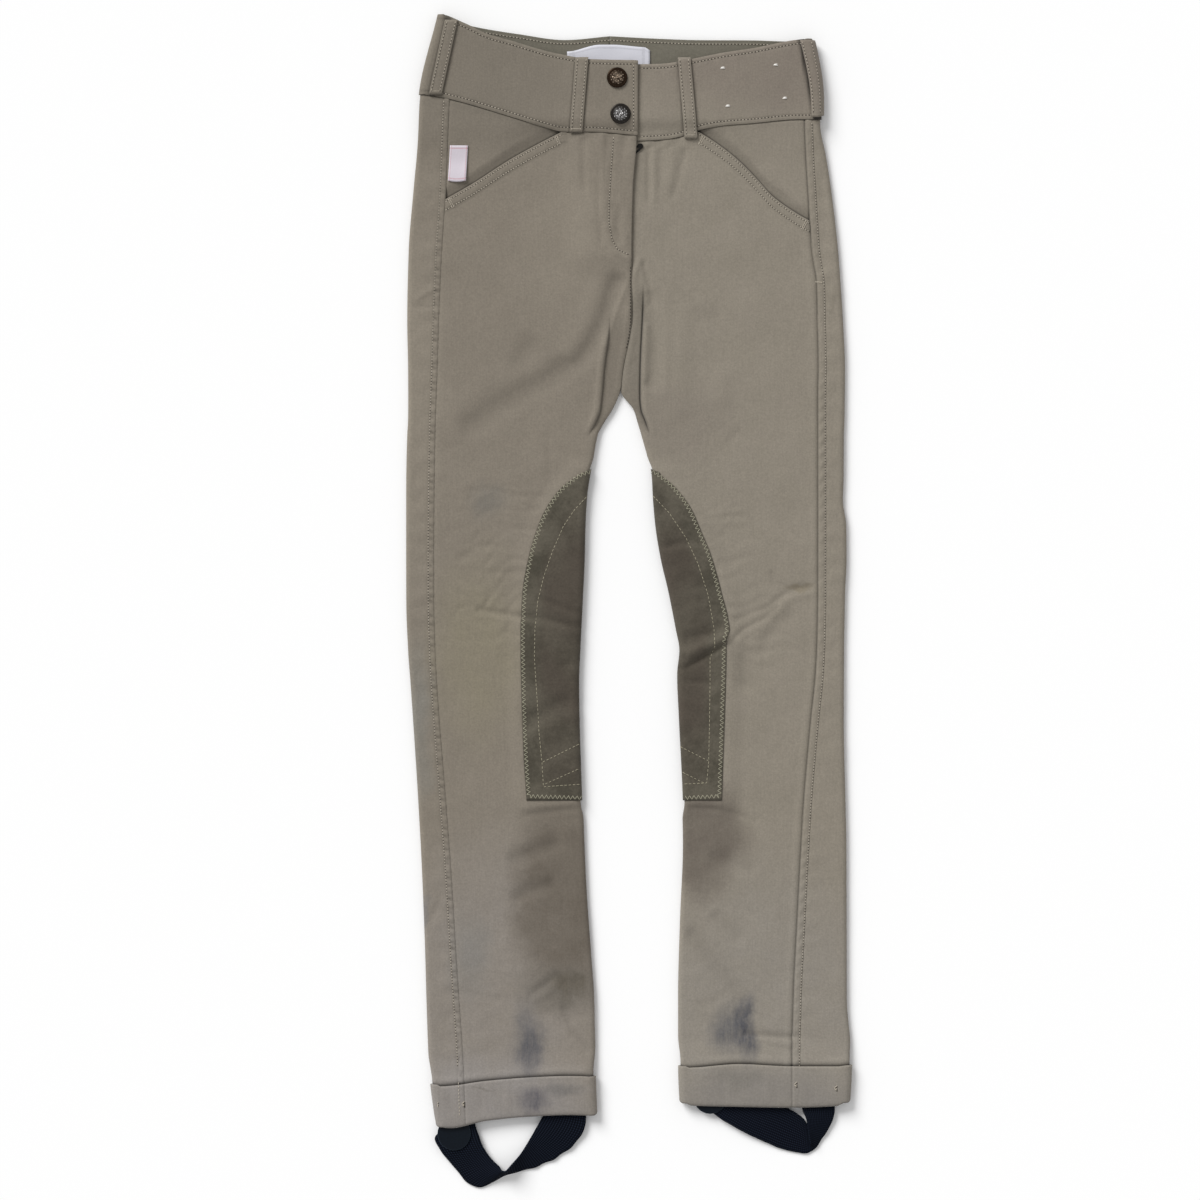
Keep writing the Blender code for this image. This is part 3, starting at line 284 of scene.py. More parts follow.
# Creases of the upper layer: height, width, lean, and the points that each runs through.
FOLDS = {
    RIGHT: (
        (-1.62, 6.6, 1, (-5.7, 271), (-13.9, 255.4), (-19.7, 232.5), (-31.2, 210.3), (-45.9, 188.2)),
        (-1.5, 9.5, 0, (-40.2, 199.7), (-54.9, 189.8), (-68.9, 180), (-89.4, 170.1),
         (-105.8, 161.1), (-122.2, 148.8), (-142.7, 139)),
        (-0.88, 8.5, 0, (-73, 219.3), (-99.2, 186.5)),
        (-0.56, 2.8, 0, (-37.7, 381.7), (-37.7, 334.1)),
        (0.31, 1.9, 0, (-21.3, 385), (-22.1, 309.5)),
        (-0.31, 3.1, 0, (-7.4, 325.9), (-8.2, 307.9)),
        (0.25, 2.5, 0, (-14.8, 317.8), (-13.1, 299.7)),
        (-0.31, 2.5, 0, (0, 301.3), (1.6, 283.3)),
        (0.43, 2.2, 0, (2.5, 270.2), (-10.7, 237.4), (-20.5, 206.2)),
        (0.25, 1.9, 0, (-0.8, 242.3), (-7.4, 186.5)),
        (-0.31, 1.9, 0, (-179.6, 241.5), (-153.3, 240.7)),
        (0.31, 1.9, 0, (-177.1, 246.4), (-157.4, 257.9)),
        (-0.25, 3.1, 0, (-66.4, 139), (-65.6, 93.1)),
        (-0.28, 2.8, 1, (-133.7, 78.3), (-128.7, 89.8), (-115.6, 93.1), (-95.9, 87.3), (-66.4, 85.7)),
        (-0.31, 2.5, 0, (-109.1, 60.3), (-69.7, 58.6)),
        (-0.28, 2.8, 1, (-141.9, 31.6), (-125.5, 45.5), (-102.5, 46.3)),
        (-0.31, 2.5, 0, (-121.4, 23.4), (-82, 25)),
        (-0.31, 1.9, 0, (-141.9, -7), (-130.4, -2), (-118.1, -3.7), (-113.2, 4.5)),
        (-0.25, 1.9, 0, (-146.8, -9.4), (-135.3, -20.9)),
        (-0.81, 2.5, 1, (-127.1, -6.1), (-105.8, -9.4), (-89.4, -11.9), (-73, -13.5), (-37.7, -22.5)),
        (-0.25, 1.9, 0, (-104.1, -24.2), (-86.1, -29.1)),
        (-0.19, 1.9, 0, (-86.9, 75.8), (-69.7, 75.8)),
        (-0.15, 1.9, 0, (-105.8, 35.7), (-85.3, 35.7)),
        (-0.15, 1.9, 0, (-156.6, -32.4), (-118.9, -31.6)),
        (-0.19, 1.9, 0, (-114.8, 2), (-118.9, -4.5), (-123.8, -7.8)),
        (-0.43, 2.5, 1, (-77.1, 2.9), (-56.6, -3.7), (-37.7, -11.9)),
        (-0.25, 1.9, 0, (-59.9, -56.2), (-45.1, -48.8)),
        (-0.25, 1.9, 0, (-51.7, -66.8), (-37.7, -63.5)),
        (-1, 6.6, 0, (-89.4, -103.7), (-56.6, -84.9), (-40.2, -79.9)),
        (0.25, 1.9, 0, (-89.4, -169.3), (-38.5, -164.4)),
        (-0.37, 2.5, 0, (-91, -176.7), (-60.7, -171.8), (-38.5, -169.3)),
        (-1.12, 6.6, 0, (-102.5, -214.4), (-81.2, -206.2), (-51.7, -196.4)),
        (-1.12, 5.7, 0, (-99.2, -246.4), (-81.2, -236.6), (-56.6, -229.2)),
        (-0.37, 3.1, 0, (-151.7, -238.2), (-166.5, -269.4)),
        (-0.19, 3.1, 0, (-110.7, -297.2), (-99.2, -299.7)),
        (-0.62, 3.1, 1, (-84.5, -325.1), (-68.9, -314.5), (-59.9, -306.3), (-50, -316.1)),
        (-0.31, 2.5, 0, (-46.7, -311.2), (-30.3, -308.7)),
        (-0.56, 3.1, 0, (-54.9, -330), (-44.3, -355.5), (-30.3, -370.2)),
        (-0.25, 3.1, 0, (-150.1, -318.6), (-102.5, -326.8)),
        (-0.25, 2.5, 0, (-158.3, -376), (-135.3, -376)),
        (-0.22, 2.5, 0, (-146.8, -392.4), (-146, -421.9)),
        (-0.19, 3.1, 0, (-118.9, -390.7), (-122.2, -420.2)),
        (0.19, 2.5, 0, (-99.2, -392.4), (-100, -418.6)),
        (-0.19, 3.1, 0, (-87.7, -390.7), (-86.1, -418.6)),
    ),
    LEFT: (
        (-0.5, 2.5, 0, (15.6, 375.1), (15.6, 324.3)),
        (-0.37, 2.2, 0, (26.2, 373.5), (25.4, 334.1)),
        (-0.56, 3.1, 0, (46.7, 373.5), (35.3, 329.2)),
        (0.31, 1.9, 0, (20.5, 373.5), (20.5, 325.9)),
        (0.31, 2.5, 0, (36.1, 373.5), (33.6, 337.4)),
        (-0.31, 2.5, 0, (87.7, 373.5), (107.4, 345.6), (135.3, 327.6)),
        (-0.5, 5.7, 0, (158.3, 352.2), (158.3, 265.3)),
        (0.25, 2.5, 0, (169.7, 263.6), (164, 235.8)),
        (0.37, 2.2, 0, (9.8, 283.3), (0, 256.2)),
        (-0.56, 2.5, 0, (11.5, 280), (17.2, 255.4), (18.9, 247.2), (13.9, 240.7), (15.6, 225.9)),
        (-1, 5.7, 0, (13.9, 257.1), (17.2, 237.4), (19.7, 210.3), (18.9, 188.2), (16.4, 170.1)),
        (0.25, 3.1, 0, (31.2, 260.3), (30.3, 165.2)),
        (-0.25, 1.9, 0, (20.5, 188.2), (12.3, 175.9)),
        (-0.25, 1.9, 0, (0, 193.1), (9.8, 200.5)),
        (-0.44, 8.5, 0, (45.1, 237.4), (81.2, 230.8)),
        (0.38, 7.6, 0, (43.5, 247.2), (41.8, 145.5)),
        (0.5, 8.5, 0, (74.6, 198), (76.3, 155.4)),
        (-0.25, 2.5, 0, (77.1, 126.7), (92.7, 142.3)),
        (-0.43, 2.5, 1, (23.8, 43), (41.8, 48), (61.5, 46.3)),
        (-0.19, 1.9, 0, (47.6, 55.3), (60.7, 52.1)),
        (-1.12, 5.2, 0, (38.5, -34), (58.2, -28.3), (81.2, -20.9)),
        (1.25, 5.2, 0, (41.8, -44.7), (63.1, -35.7), (85.3, -26.6)),
        (-0.81, 2.1, 0, (41, -57), (58.2, -48), (80.4, -34)),
        (-0.25, 1.9, 0, (21.3, 40.6), (27.1, 43.9), (38.5, 46.3), (58.2, 50.4)),
        (-0.31, 1.9, 0, (41.8, -67.6), (58.2, -65.2), (71.3, -69.3)),
        (-0.31, 2.5, 0, (41.8, -63.5), (61.5, -67.6)),
        (-0.5, 2.5, 1, (84.5, -16), (100.9, -8.6), (114, -4.5), (127.1, 6.1), (140.2, 11.1), (153.3, 11.1)),
        (-0.43, 2.1, 1, (83.6, -32.4), (94.3, -22.5), (109.9, -14.3), (124.6, -2)),
        (0.31, 3.1, 0, (120.5, -7.8), (135.3, 2.9), (150.1, 6.1)),
        (-0.43, 2.5, 0, (114.8, 25.8), (120.5, 15.2), (131.2, 11.1), (151.7, 12.7)),
        (-0.56, 5.7, 0, (108.2, -47.1), (111.5, -31.6), (123.8, -16.8), (139.4, -7)),
        (-0.19, 1.9, 0, (63.1, 55.3), (81.2, 53.7)),
        (-0.19, 1.9, 0, (76.3, 70.1), (92.7, 70.9)),
        (-0.25, 2.5, 0, (71.3, 31.6), (106.6, 38.1)),
        (0.19, 1.9, 0, (59, 70.9), (98.4, 75)),
        (0.19, 1.9, 0, (54.9, 62.7), (98.4, 65.2)),
        (-0.75, 7.6, 0, (95.1, -34.9), (94.3, -77.5)),
        (-0.37, 1.9, 0, (163.2, 102.9), (173.8, 87.3)),
        (0.25, 1.9, 0, (41.8, -164.4), (77.9, -166.9)),
        (-0.37, 2.5, 0, (43.5, -169.3), (74.6, -170.1), (107.4, -180.8)),
        (-0.62, 6.6, 0, (61.5, -206.2), (108.2, -221.8)),
        (-0.75, 5.7, 0, (66.4, -253.8), (95.1, -280.8)),
        (-0.25, 2.5, 0, (88.6, -247.2), (105.8, -258.7)),
        (-1, 6.6, 0, (45.9, -266.1), (74.6, -302.2), (99.2, -330.9)),
        (-0.74, 2.8, 1, (91.8, -354.6), (115.6, -356.3), (143.5, -357.9)),
        (-0.37, 2.5, 0, (95.9, -358.8), (135.3, -368.6)),
        (-0.19, 3.1, 0, (76.3, -384.2), (77.9, -412)),
        (0.19, 3.1, 0, (114, -384.2), (114, -412)),
    ),
}

# The lower layer's few creases, which rise off the floor.
UNDER_FOLDS = {
    RIGHT: (
        (0.7, 6, 0, (-150, 120), (-90, 100), (-60, 96)),
        (0.7, 7, 0, (-140, 10), (-96, 0)),
        (0.6, 6, 0, (-130, -60), (-100, -52)),
        (0.7, 7, 0, (-140, -200), (-80, -214)),
        (0.6, 6, 0, (-120, -300), (-60, -322)),
        (0.6, 7, 0, (-160, 240), (-90, 200), (-40, 196))),
    LEFT: (
        (0.7, 6, 0, (60, 120), (120, 108), (150, 112)),
        (0.7, 7, 0, (96, -6), (150, 14)),
        (0.6, 6, 0, (96, -50), (130, -58)),
        (0.7, 7, 0, (64, -230), (130, -216)),
        (0.6, 6, 0, (70, -316), (130, -304)),
        (0.6, 7, 0, (40, 204), (100, 214), (150, 250))),
}

# Long low waves all over the cloth: wavelength, heading, phase and height.
SLACK = (
    (83.0, 0.4, 0.3, 0.16), (61.0, 1.9, 1.1, 0.13), (44.0, 1.2, 2.6, 0.10),
    (37.0, 2.7, 0.9, 0.07), (27.0, 0.9, 4.1, 0.045), (19.0, 2.2, 5.2, 0.03))

# How the cloth shows: pleats, folds, edges and the depth that each stands or sinks, the shade of
# the side seams, and the steps between the dimples and the puckers along them
RECESS, PLEAT_EDGE, DEEPEST, FOLD_SCALE = 2.4, 0.9, 3.0, 1.5
KNEE_Y = {RIGHT: 20.0, LEFT: -10.0}
SEAM_SHOWN, HEM_ZONE, HEM_CORNER = 0.1, 12.0, 3.0
SUEDE_SHOWN, PATCH_OUT, PATCH_TIP, PATCH_FOLDS = 0.8, 1.1, 108.5, 0.9
# Faces of the band below the second height take the darker inside finish: painted shade.
LOOP_OUT, SHADED_INSIDE_Z = 2.5, 3.9
LABEL_CLOTH, TAPE_CLOTH = 0.5, 0.9
TEETH, TEETH_TOP, TOOTH_PITCH = 70, 352.0, 0.85
STITCH_GRAIN, PRICK_LIFT = 0.2, 0.06
STITCH_LIFT = np.array((-0.15, 0.16, 0.16, -0.15))
ZIGZAG_LIFT = np.array((-0.1, 0.16, 0.16, -0.1))
RING_HEIGHT, BOSS_HEIGHT = 1.2, 1.9
SEAM_SHADE = {RIGHT: 0.10, LEFT: 0.5}
DIMPLE_STEP, PUCKER_STEP = 5.8, 9.6

# Belt loops: the middle of the head and of the foot of each.
FRONT_LOOPS = {
    "front_right": (RIGHT, (-38.5, 445), (-43.4, 384.3)),
    "side_right": (RIGHT, (-145.5, 476), (-158.6, 415)),
    "front_left": (LEFT, (45.1, 445.2), (50.8, 379.4)),
}
FOLDED_LOOPS = {"side_left": (LEFT, (144.5, 459.5), (157.8, 396.5))}
BACK_LOOPS = {
    "back_right": (RIGHT, (-91.8, 465), (-91.8, 405.5)),
    "back_left": (LEFT, (74.6, 460), (74.6, 398.8)),
}

# Stitched lines
SIDE_STITCH, BAND_STITCH, MOUTH_STITCH, ZIGZAG_IN = {RIGHT: 4.7, LEFT: 5.9}, 3.3, (2, 8.8), 2.1
FLY_STITCH = ((-12.6, 380.1), (-14.8, 352.2), (-16.4, 325.9), (-16.4, 310.4), (-13.9, 296.4),
              (-9.3, 288.2), (0.5, 283.7))
PATCH_STITCH = {
    RIGHT: (
        ((-34.8, 85.7), (-44.7, 75), (-53.6, 61.9), (-62.6, 41.4), (-69.7, 20.9), (-74.6, 1.2),
         (-77.1, -22.5), (-77.5, -46.3), (-75.4, -78.3), (-73.8, -106.2), (-71.3, -131.6),
         (-70.1, -151.8), (-37.7, -149.6)),
        ((-70.9, -131.6), (-39.4, -116.1)),
        ((-68.9, -149.6), (-38.7, -136))),
    LEFT: (
        ((19.7, 86.5), (32.8, 72.6), (46.7, 52.1), (56.6, 30.7), (64.8, 5.3), (69.7, -22.5),
         (70.2, -36.5), (66.4, -46.3), (66.4, -66), (66, -96.3), (65.3, -131.6),
         (63.6, -148.8), (43.2, -149.6)),
        ((65.6, -130.8), (41.6, -118.8)),
        ((61.5, -148.8), (42.7, -139.4))),
}

# The cut edge of the knee suede on the upper layer.
PATCH_EDGE = tables("y edge", (
    (107.9, -31.8), (105.8, -36.9), (103.2, -42.6), (99.6, -47.6), (91.7, -56.9), (76.6, -67.8),
    (61.5, -74.8), (37, -82.2), (3, -87.8), (-31, -89), (-61, -88.6), (-121, -86.7),
    (-163, -84)), (
    (107.9, 16.6), (105.4, 22), (101, 29.6), (91.7, 39.6), (76.6, 50.6), (55.8, 59.8),
    (38.9, 66.8), (20, 72.5), (4.9, 76.3), (-12, 80.8), (-23.4, 82.3), (-30.9, 80),
    (-61, 79.3), (-98.8, 78.1), (-163, 75.9)))

# Tones and stains of the cloth: colour, strength, softness, and the middle and half size of each.
TONES = {
    RIGHT: (
        # This first tone darkens the waist and the band: partly the cloth's own tone, partly painted shade
        # of the tilted band.
        ("#797267", 0.9, 0.7, -130, 440, 170, 100),
        ("#8b8376", 0.6, 0.8, -48, 290, 60, 100),
        ("#8d8578", 0.7, 0.8, -176, 170, 34, 200),
        ("#87806b", 0.6, 0.8, -122, -40, 56, 110),
        ("#7f7e78", 0.6, 0.8, -172, -96, 16, 90),
        ("#8b847c", 0.9, 0.6, -110, -340, 120, 200),
        ("#8b8682", 0.9, 0.6, -110, -425, 120, 70),
        ("#7d7c79", 0.45, 0.8, -130, -290, 26, 50),
        ("#686056", 1, 0.55, -54, -244, 52, 106),
        ("#67625a", 0.7, 0.8, -60, -318, 46, 26)),
    LEFT: (
        # This first tone darkens the waist and the band: partly the cloth's own tone, partly painted shade
        # of the tilted band.
        ("#7f766c", 0.9, 0.7, 120, 450, 170, 80),
        ("#8d877e", 0.8, 0.6, 110, -360, 150, 190),
        ("#837e78", 0.9, 0.6, 110, -425, 110, 60),
        ("#696158", 1, 0.55, 56, -192, 50, 62),
        ("#7e766c", 0.5, 0.8, 40, 150, 60, 50),
        ("#766b55", 0.5, 0.8, 139, 14, 18, 5)),
}
STAINS = {
    RIGHT: (
        ("#626163", 0.75, 0.9, -84, -356, 22, 42),
        ("#525258", 0.75, 0.8, -83, -370, 15, 24),
        ("#56545a", 0.85, 0.8, -79, -408, 20, 15),
        ("#63615f", 0.6, 0.8, -54, -400, 22, 8),
        ("#736e67", 0.6, 0.8, -118, -398, 13, 1.8),
        ("#6a6a6c", 0.7, 0.8, -167, -256, 6, 24),
        ("#6b6a66", 0.45, 0.8, -114, 84, 24, 22),
        ("#5e574c", 0.8, 0.8, -52, -316, 24, 14)),
    LEFT: (
        ("#4b4c53", 0.95, 0.7, 95, -347, 12, 38),
        ("#5a5a5d", 0.85, 0.9, 80, -350, 18, 32),
        ("#77736c", 0.6, 0.8, 92, -392, 26, 12)),
}

# Light
KEY_PLACE, KEY_ENERGY, SKY_STRENGTH = (-0.62, 0.78, 0.62), 2.95, 0.53


# ---------------------------------------------------------------- the flattened legs

def smooth(t):
    t = np.clip(t, 0.0, 1.0)
    return t * t * (3 - 2 * t)


def mix(a, b, t):
    return a + (b - a) * t


def bell(distance, width):
    return np.exp(-(distance / width) ** 2)


def patch_zone(y):
    return smooth((y - PATCH_BOTTOM + 16) / 14) * smooth((PATCH_TOP + 16 - y) / 14)


def cuff_zone(side, x, y):
    return smooth((CUFF[side].at("top", x) + 24 - y) / 22)


def outer_edge(side, y):
    outline = SECTIONS[side].at("outer", y)
    return outline - side * (CLOTH / 2 + (OVER + FOLD_SLACK) * cuff_zone(side, outline, y))


def seam_half_gap(y):
    return SEAM / 2 + SEAM * bell(y - APEX_Y, 3)


def centre_back(y):
    return mix(APEX_X, BAND_CENTRE_X, np.minimum((y - APEX_Y) / (463.0 - APEX_Y), 1.0))


def inner_edge(side, layer, y):
    y = np.asarray(y, dtype=float)
    below = SECTIONS[side].at("inner", y)
    wrapped = np.maximum(patch_zone(y), cuff_zone(side, below, y))
    below = below + side * (CLOTH / 2 + (OVER + FOLD_SLACK) * wrapped)
    if layer == LOWER:
        above = centre_back(y)
    else:
        above = SECTIONS[RIGHT].at("inner", y)
        if side == LEFT:
            above = above - FLY_UNDERLAP * smooth((y - 275.0) / 12.0)
    return np.where(y < APEX_Y, below, above + side * seam_half_gap(y))


def mark_line(side, y):
    return SECTIONS[side].at("mark", y)


def back_mark(side, y):
    reach = np.minimum(PATCH_WRAP, 0.9 * np.abs(mark_line(side, y) - SECTIONS[side].at("inner", y)))
    return inner_edge(side, LOWER, y) + side * np.maximum(reach, 7.0)


def floor_lift(side, x, y):
    beside = smooth((np.abs(x - APEX_X) - 60.0) / 50.0)
    lift = WAIST_LIFT * smooth((y - 384.0 + 26.0 * beside) / (12.0 + 24.0 * beside))
    lift = lift + OVER * cuff_zone(side, x, y)
    beyond = (x - back_mark(side, y)) * side
    wrap = OVER * patch_zone(y) * (1 - smooth((beyond - 2) / 16))
    return lift + np.where((y > PATCH_TOP + 20) | (y < PATCH_BOTTOM - 20), 0.0, wrap)


def edge_distance(side, x, y):
    outer = np.abs(x - outer_edge(side, y))
    inner = np.where(y < APEX_Y, np.abs(x - inner_edge(side, UPPER, y)), np.hypot(x - APEX_X, y - APEX_Y))
    return np.minimum(outer, inner)


def fold_profile(distance):
    t = 1 - np.minimum(distance / FOLD_RADIUS, 1.0)
    return np.sqrt(np.clip(1 - t * t, 0.0, 1.0))


def fly_raise(side, x, y):
    if side == LEFT:
        return 0.0
    rise = smooth((x - FLY_NONE_X) / (FLY_FULL_X - FLY_NONE_X))
    return FLY_RAISE * rise * smooth((y - FLY_NONE_Y) / (FLY_FULL_Y - FLY_NONE_Y))


def pleat_zone(side, y):
    return smooth((y - 134.0) / 14.0) * smooth(((264.0 if side == LEFT else 238.0) - y) / 26.0)


def crotch_step(side, x, y):
    """The crotch lies low between two pleats; the left one is tucked under its edge."""
    inward = (mark_line(side, y) - x) * side
    if side == LEFT:
        shape = 0.7 * bell(inward + 2.8, 3.0) - 1.5 * smooth(inward / MARK_STEP)
        shape = shape - 1.1 * bell(inward - 1.3, 1.0)
    else:
        shape = PLEAT_EDGE * bell(inward + 2.0, 2.2) - RECESS * smooth(inward / MARK_STEP)
    return pleat_zone(side, y) * shape


def along_path(x, y, points):
    """Signed distance to a path of points, the share of its length at the nearest point, and its length."""
    best = np.full(np.shape(x), 1e9)
    signed, share = np.zeros(np.shape(x)), np.zeros(np.shape(x))
    lengths = [math.dist(a, b) for a, b in zip(points, points[1:])]
    total, done = sum(lengths), 0.0
    for (x0, y0), (x1, y1), length in zip(points, points[1:], lengths):
        dx, dy = (x1 - x0) / length, (y1 - y0) / length
        t = np.clip((x - x0) * dx + (y - y0) * dy, 0.0, length)
        away = np.hypot(x - x0 - t * dx, y - y0 - t * dy)
        near = away < best
        best = np.where(near, away, best)
        signed = np.where(near, np.sign((x - x0) * dy - (y - y0) * dx) * away, signed)
        share = np.where(near, (done + t) / total, share)
        done += length
    return signed, share, total


def fold_heights(folds, x, y):
    """Soft troughs and ridges that die out at their ends; a leaning one has a roll on its low side."""
    total = np.zeros(np.shape(x))
    for height, width, lean, *points in folds:
        reach = 4 * width
        xs, ys = [p[0] for p in points], [p[1] for p in points]
        near = (x > min(xs) - reach) & (x < max(xs) + reach) & (y > min(ys) - reach) & (y < max(ys) + reach)
        if not near.any():
            continue
        away, share, length = along_path(x[near], y[near], points)
        ends = smooth(share * length / (1.5 * width)) * smooth((1 - share) * length / (1.5 * width))
        rise = height * bell(away, width)
        if lean:
            rise -= 0.25 * height * bell(away - lean * 2.0 * width, 1.2 * width)
        total[near] += rise * ends
    return total


def slack(x, y):
    """The slight unevenness of cloth that has been worn and laid down again."""
    total = np.zeros(np.shape(x))
    for wave, angle, phase, height in SLACK:
        across = x * math.cos(angle) + y * math.sin(angle)
        total += height * np.sin(math.tau * across / wave + phase + 0.8 * np.sin(y / 61.0 + phase))
    return total


def wrinkles(side, x, y):
    """Small level wrinkles behind the knee and over the ankle, where the leg bends."""
    bend = 5.0 * np.sin(x / 23.0 + 1.0) + 4.0 * np.sin(x / 11.0 + y / 31.0)
    total = np.zeros(np.shape(x))
    for wave, phase, height in ((17.0, 0.4, 0.20), (11.5, 2.2, 0.15), (8.3, 4.4, 0.09)):
        patchy = 0.5 + 0.5 * np.sin(x / 29.0 + y / 47.0 + 2.3 * phase)
        total += height * patchy * np.sin(math.tau * (y + bend * (1 + 0.3 * phase)) / wave + phase)
    zone = bell(y - KNEE_Y[side], 75.0) + 0.6 * bell(y + 330.0, 60.0) + 0.35 * bell(y - 110.0, 50.0)
    inner = np.abs(x - SECTIONS[side].at("inner", y))
    return total * zone * (0.35 + 0.65 * bell(inner - 45.0, 55.0))


def relief(side, x, y):
    """How far the upper layer stands out: folds, which are deeper under the stiff suede, and slack."""
    beneath = patch_zone(y) * smooth(((PATCH_EDGE[side].at("edge", y) - x) * side + 3.0) / 6.0)
    folds = (FOLD_SCALE + PATCH_FOLDS * beneath) * fold_heights(FOLDS[side], x, y)
    folds = folds + slack(x, y) + wrinkles(side, x, y)
    folds = folds * smooth((edge_distance(side, x, y) + 1.5) / 9.0) + crotch_step(side, x, y)
    folds = np.where(folds < 0, -DEEPEST * np.tanh(-folds / DEEPEST), folds)
    return folds + fly_raise(side, x, y)


def height_at(side, layer, x, y, out=0.0, profile=None):
    """Height of a surface that stands out from the middle of one layer."""
    x, y = np.broadcast_arrays(np.asarray(x, dtype=float), np.asarray(y, dtype=float))
    if profile is None:
        profile = fold_profile(edge_distance(side, x, y))
    room = LAYER_GAP + relief(side, x, y)
    base = floor_lift(side, x, y) + CLOTH / 2
    if layer == UPPER:
        return base + room / 2 + (room / 2 + out) * profile
    return base + room / 2 * (1 - profile) - out * profile


# ---------------------------------------------------------------- grids of rows and stations

def mouth_end(side):
    """X of the pocket mouth's end at the band."""
    return POCKET_MOUTH[side].keys[-1 if side == RIGHT else 0]


def front_top(side, x):
    waist = WAIST_FRONT[side].at("low", x) - SEAM
    return np.where((x - mouth_end(side)) * side > 0, POCKET_MOUTH[side].at("y", x), waist)


def back_top(side, layer, x):
    return (WAIST_FRONT if layer == UPPER else WAIST_BACK)[side].at("low", x) - SEAM


def steps(*zones):
    """Row positions: whole numbers are the zone limits of a panel, with counts of rows between."""
    rows = [np.arange(count) / count + zone for zone, count in enumerate(zones)]
    return np.concatenate((*rows, [float(len(zones))]))


def row_height(rows, limits):
    """Y of each row, between limits that may themselves run with X."""
    limits = np.stack(limits)
    zone = np.minimum(rows.astype(int), len(limits) - 2)[:, None]
    index = np.broadcast_to(zone, limits.shape[1:])[None]
    start = np.take_along_axis(limits, index, 0)[0]
    end = np.take_along_axis(limits, index + 1, 0)[0]
    return mix(start, end, rows[:, None] - zone)


def lay_grid(stations, rows, limits):
    """X and Y where each row crosses each station line; limits(x) gives the rows' limits."""
    x = np.tile(np.array([float(station(HIP_Y)) for station in stations]), (len(rows), 1))
    for _ in range(5):
        y = row_height(rows, limits(x))
        x = np.stack([station(y[:, j]) for j, station in enumerate(stations)], axis=1)
    return x, row_height(rows, limits(x))


def between(first, last, count, ends=False):
    shares = np.arange(0 if ends else 1, count + (2 if ends else 1)) / (count + 1)
    return [lambda y, t=t: mix(first(y), last(y), t) for t in shares]


def beside(line, way, *steps):
    """Station lines at set steps from one line."""
    return [lambda y, step=step: line(y) + way * step for step in steps]


def leg_limits(side, top, x):
    """Where the zones of a panel's rows end: waist, hip, calf and both edges of the turned-up hem."""
    cuff, edge = CUFF[side].at("top", x), top(x)
    return (edge, edge - HEM_ZONE, np.full(np.shape(x), HIP_Y), np.full(np.shape(x), CALF_Y),
            cuff + 7.0, cuff - 1.0, CUFF[side].at("hem", x) + 3.0)


def cuff_limits(side, x):
    return CUFF[side].at("top", x), CUFF[side].at("hem", x)


def round_corners(side, columns):
    """Draws the two bottom corners of a hem up into soft curves."""
    rounded = []
    for x, y, z in columns:
        hem = CUFF[side].at("hem", x)
        from_outer = (outer_edge(side, hem) - x) * side
        from_inner = (x - inner_edge(side, UPPER, hem)) * side
        from_end = np.minimum(from_outer, from_inner) + OVER + FOLD_SLACK
        flat = np.clip(HEM_CORNER - from_end, 0.0, HEM_CORNER)
        lift = HEM_CORNER - np.sqrt(HEM_CORNER ** 2 - flat ** 2)
        rounded.append((x, y + lift * np.clip(1 - (y - hem) / HEM_ZONE, 0.0, 1.0) ** 2, z))
    return rounded


FRONT_ROWS = steps(15, 34, 340, 12, 10, 4)
BACK_ROWS = steps(10, 62, 450, 13, 10, 4)
CUFF_ROWS = steps(20)
OUTER_TURN = (90, 75, 60, 45, 30, 15, 0, -15, -30, -45, -60, -75, -90)
INNER_TURN = (90, 72, 54, 38, 22)


def round_fold(side, edge, angle, y, out):
    """Points of a folded edge at each row: 90 degrees is the upper layer, -90 the lower."""
    layer = UPPER if angle >= 0 else LOWER
    inward = -side if edge == "outer" else side
    start = outer_edge(side, y) if edge == "outer" else inner_edge(side, layer, y)
    turn = math.radians(abs(angle))
    slack_out = FOLD_SLACK * math.cos(turn) if out else 0.0
    x = start + inward * (FOLD_RADIUS - (FOLD_RADIUS + out + slack_out) * math.cos(turn))
    return x, y, height_at(side, layer, start + inward * FOLD_RADIUS, y, out, math.sin(turn))


def inner_end(side, layer, y, out=0.0):
    """The last points of a panel: round the inner fold to its seam, or flat to a centre seam."""
    edge = inner_edge(side, layer, y)
    middle = height_at(side, UPPER, edge + side * FOLD_RADIUS, y, profile=0.0)
    stand = out + FOLD_SLACK if out else 0.0
    turn = smooth((y - CROTCH_Y) / CROTCH_TURN)
    columns = []
    for back, angle in zip((5.0, 3.6, 2.4, 1.4, 0.7), INNER_TURN):
        z = height_at(side, layer, edge + side * back, y, out)
        z = middle + layer * np.maximum(np.abs(z - middle), CLOTH / 2 + SEAM / 2)
        fold_x, _, fold_z = round_fold(side, "inner", layer * angle, y, out)
        columns.append((mix(fold_x, edge + side * back, turn), y, mix(fold_z, z, turn)))
    z = middle + layer * np.maximum(np.abs(height_at(side, layer, edge, y, out) - middle), 0.75)
    z = mix(middle + layer * SEAM / 2, np.where(y > APEX_Y, height_at(side, layer, edge, y, out), z), turn)
    columns.append((mix(edge - side * stand, edge, turn), y, z))
    return columns


def rows_on(station, rows, limits):
    """Y of each row where it crosses one station line."""
    return lay_grid([station], rows, limits)[1][:, 0]


def outer_bend(side, y):
    """The middle of the bend at the outer fold."""
    return outer_edge(side, y) - side * FOLD_RADIUS


def inner_bend(side, layer, y):
    """Where the even part of a panel stops and its inner fold begins."""
    return inner_edge(side, layer, y) + side * 5.0


def grid_of(columns):
    return np.stack([np.stack([column[i] for column in columns], axis=1) for i in range(3)], axis=2)


def sheet_of(x, y, z):
    return np.stack(np.broadcast_arrays(x, y, z), axis=2)


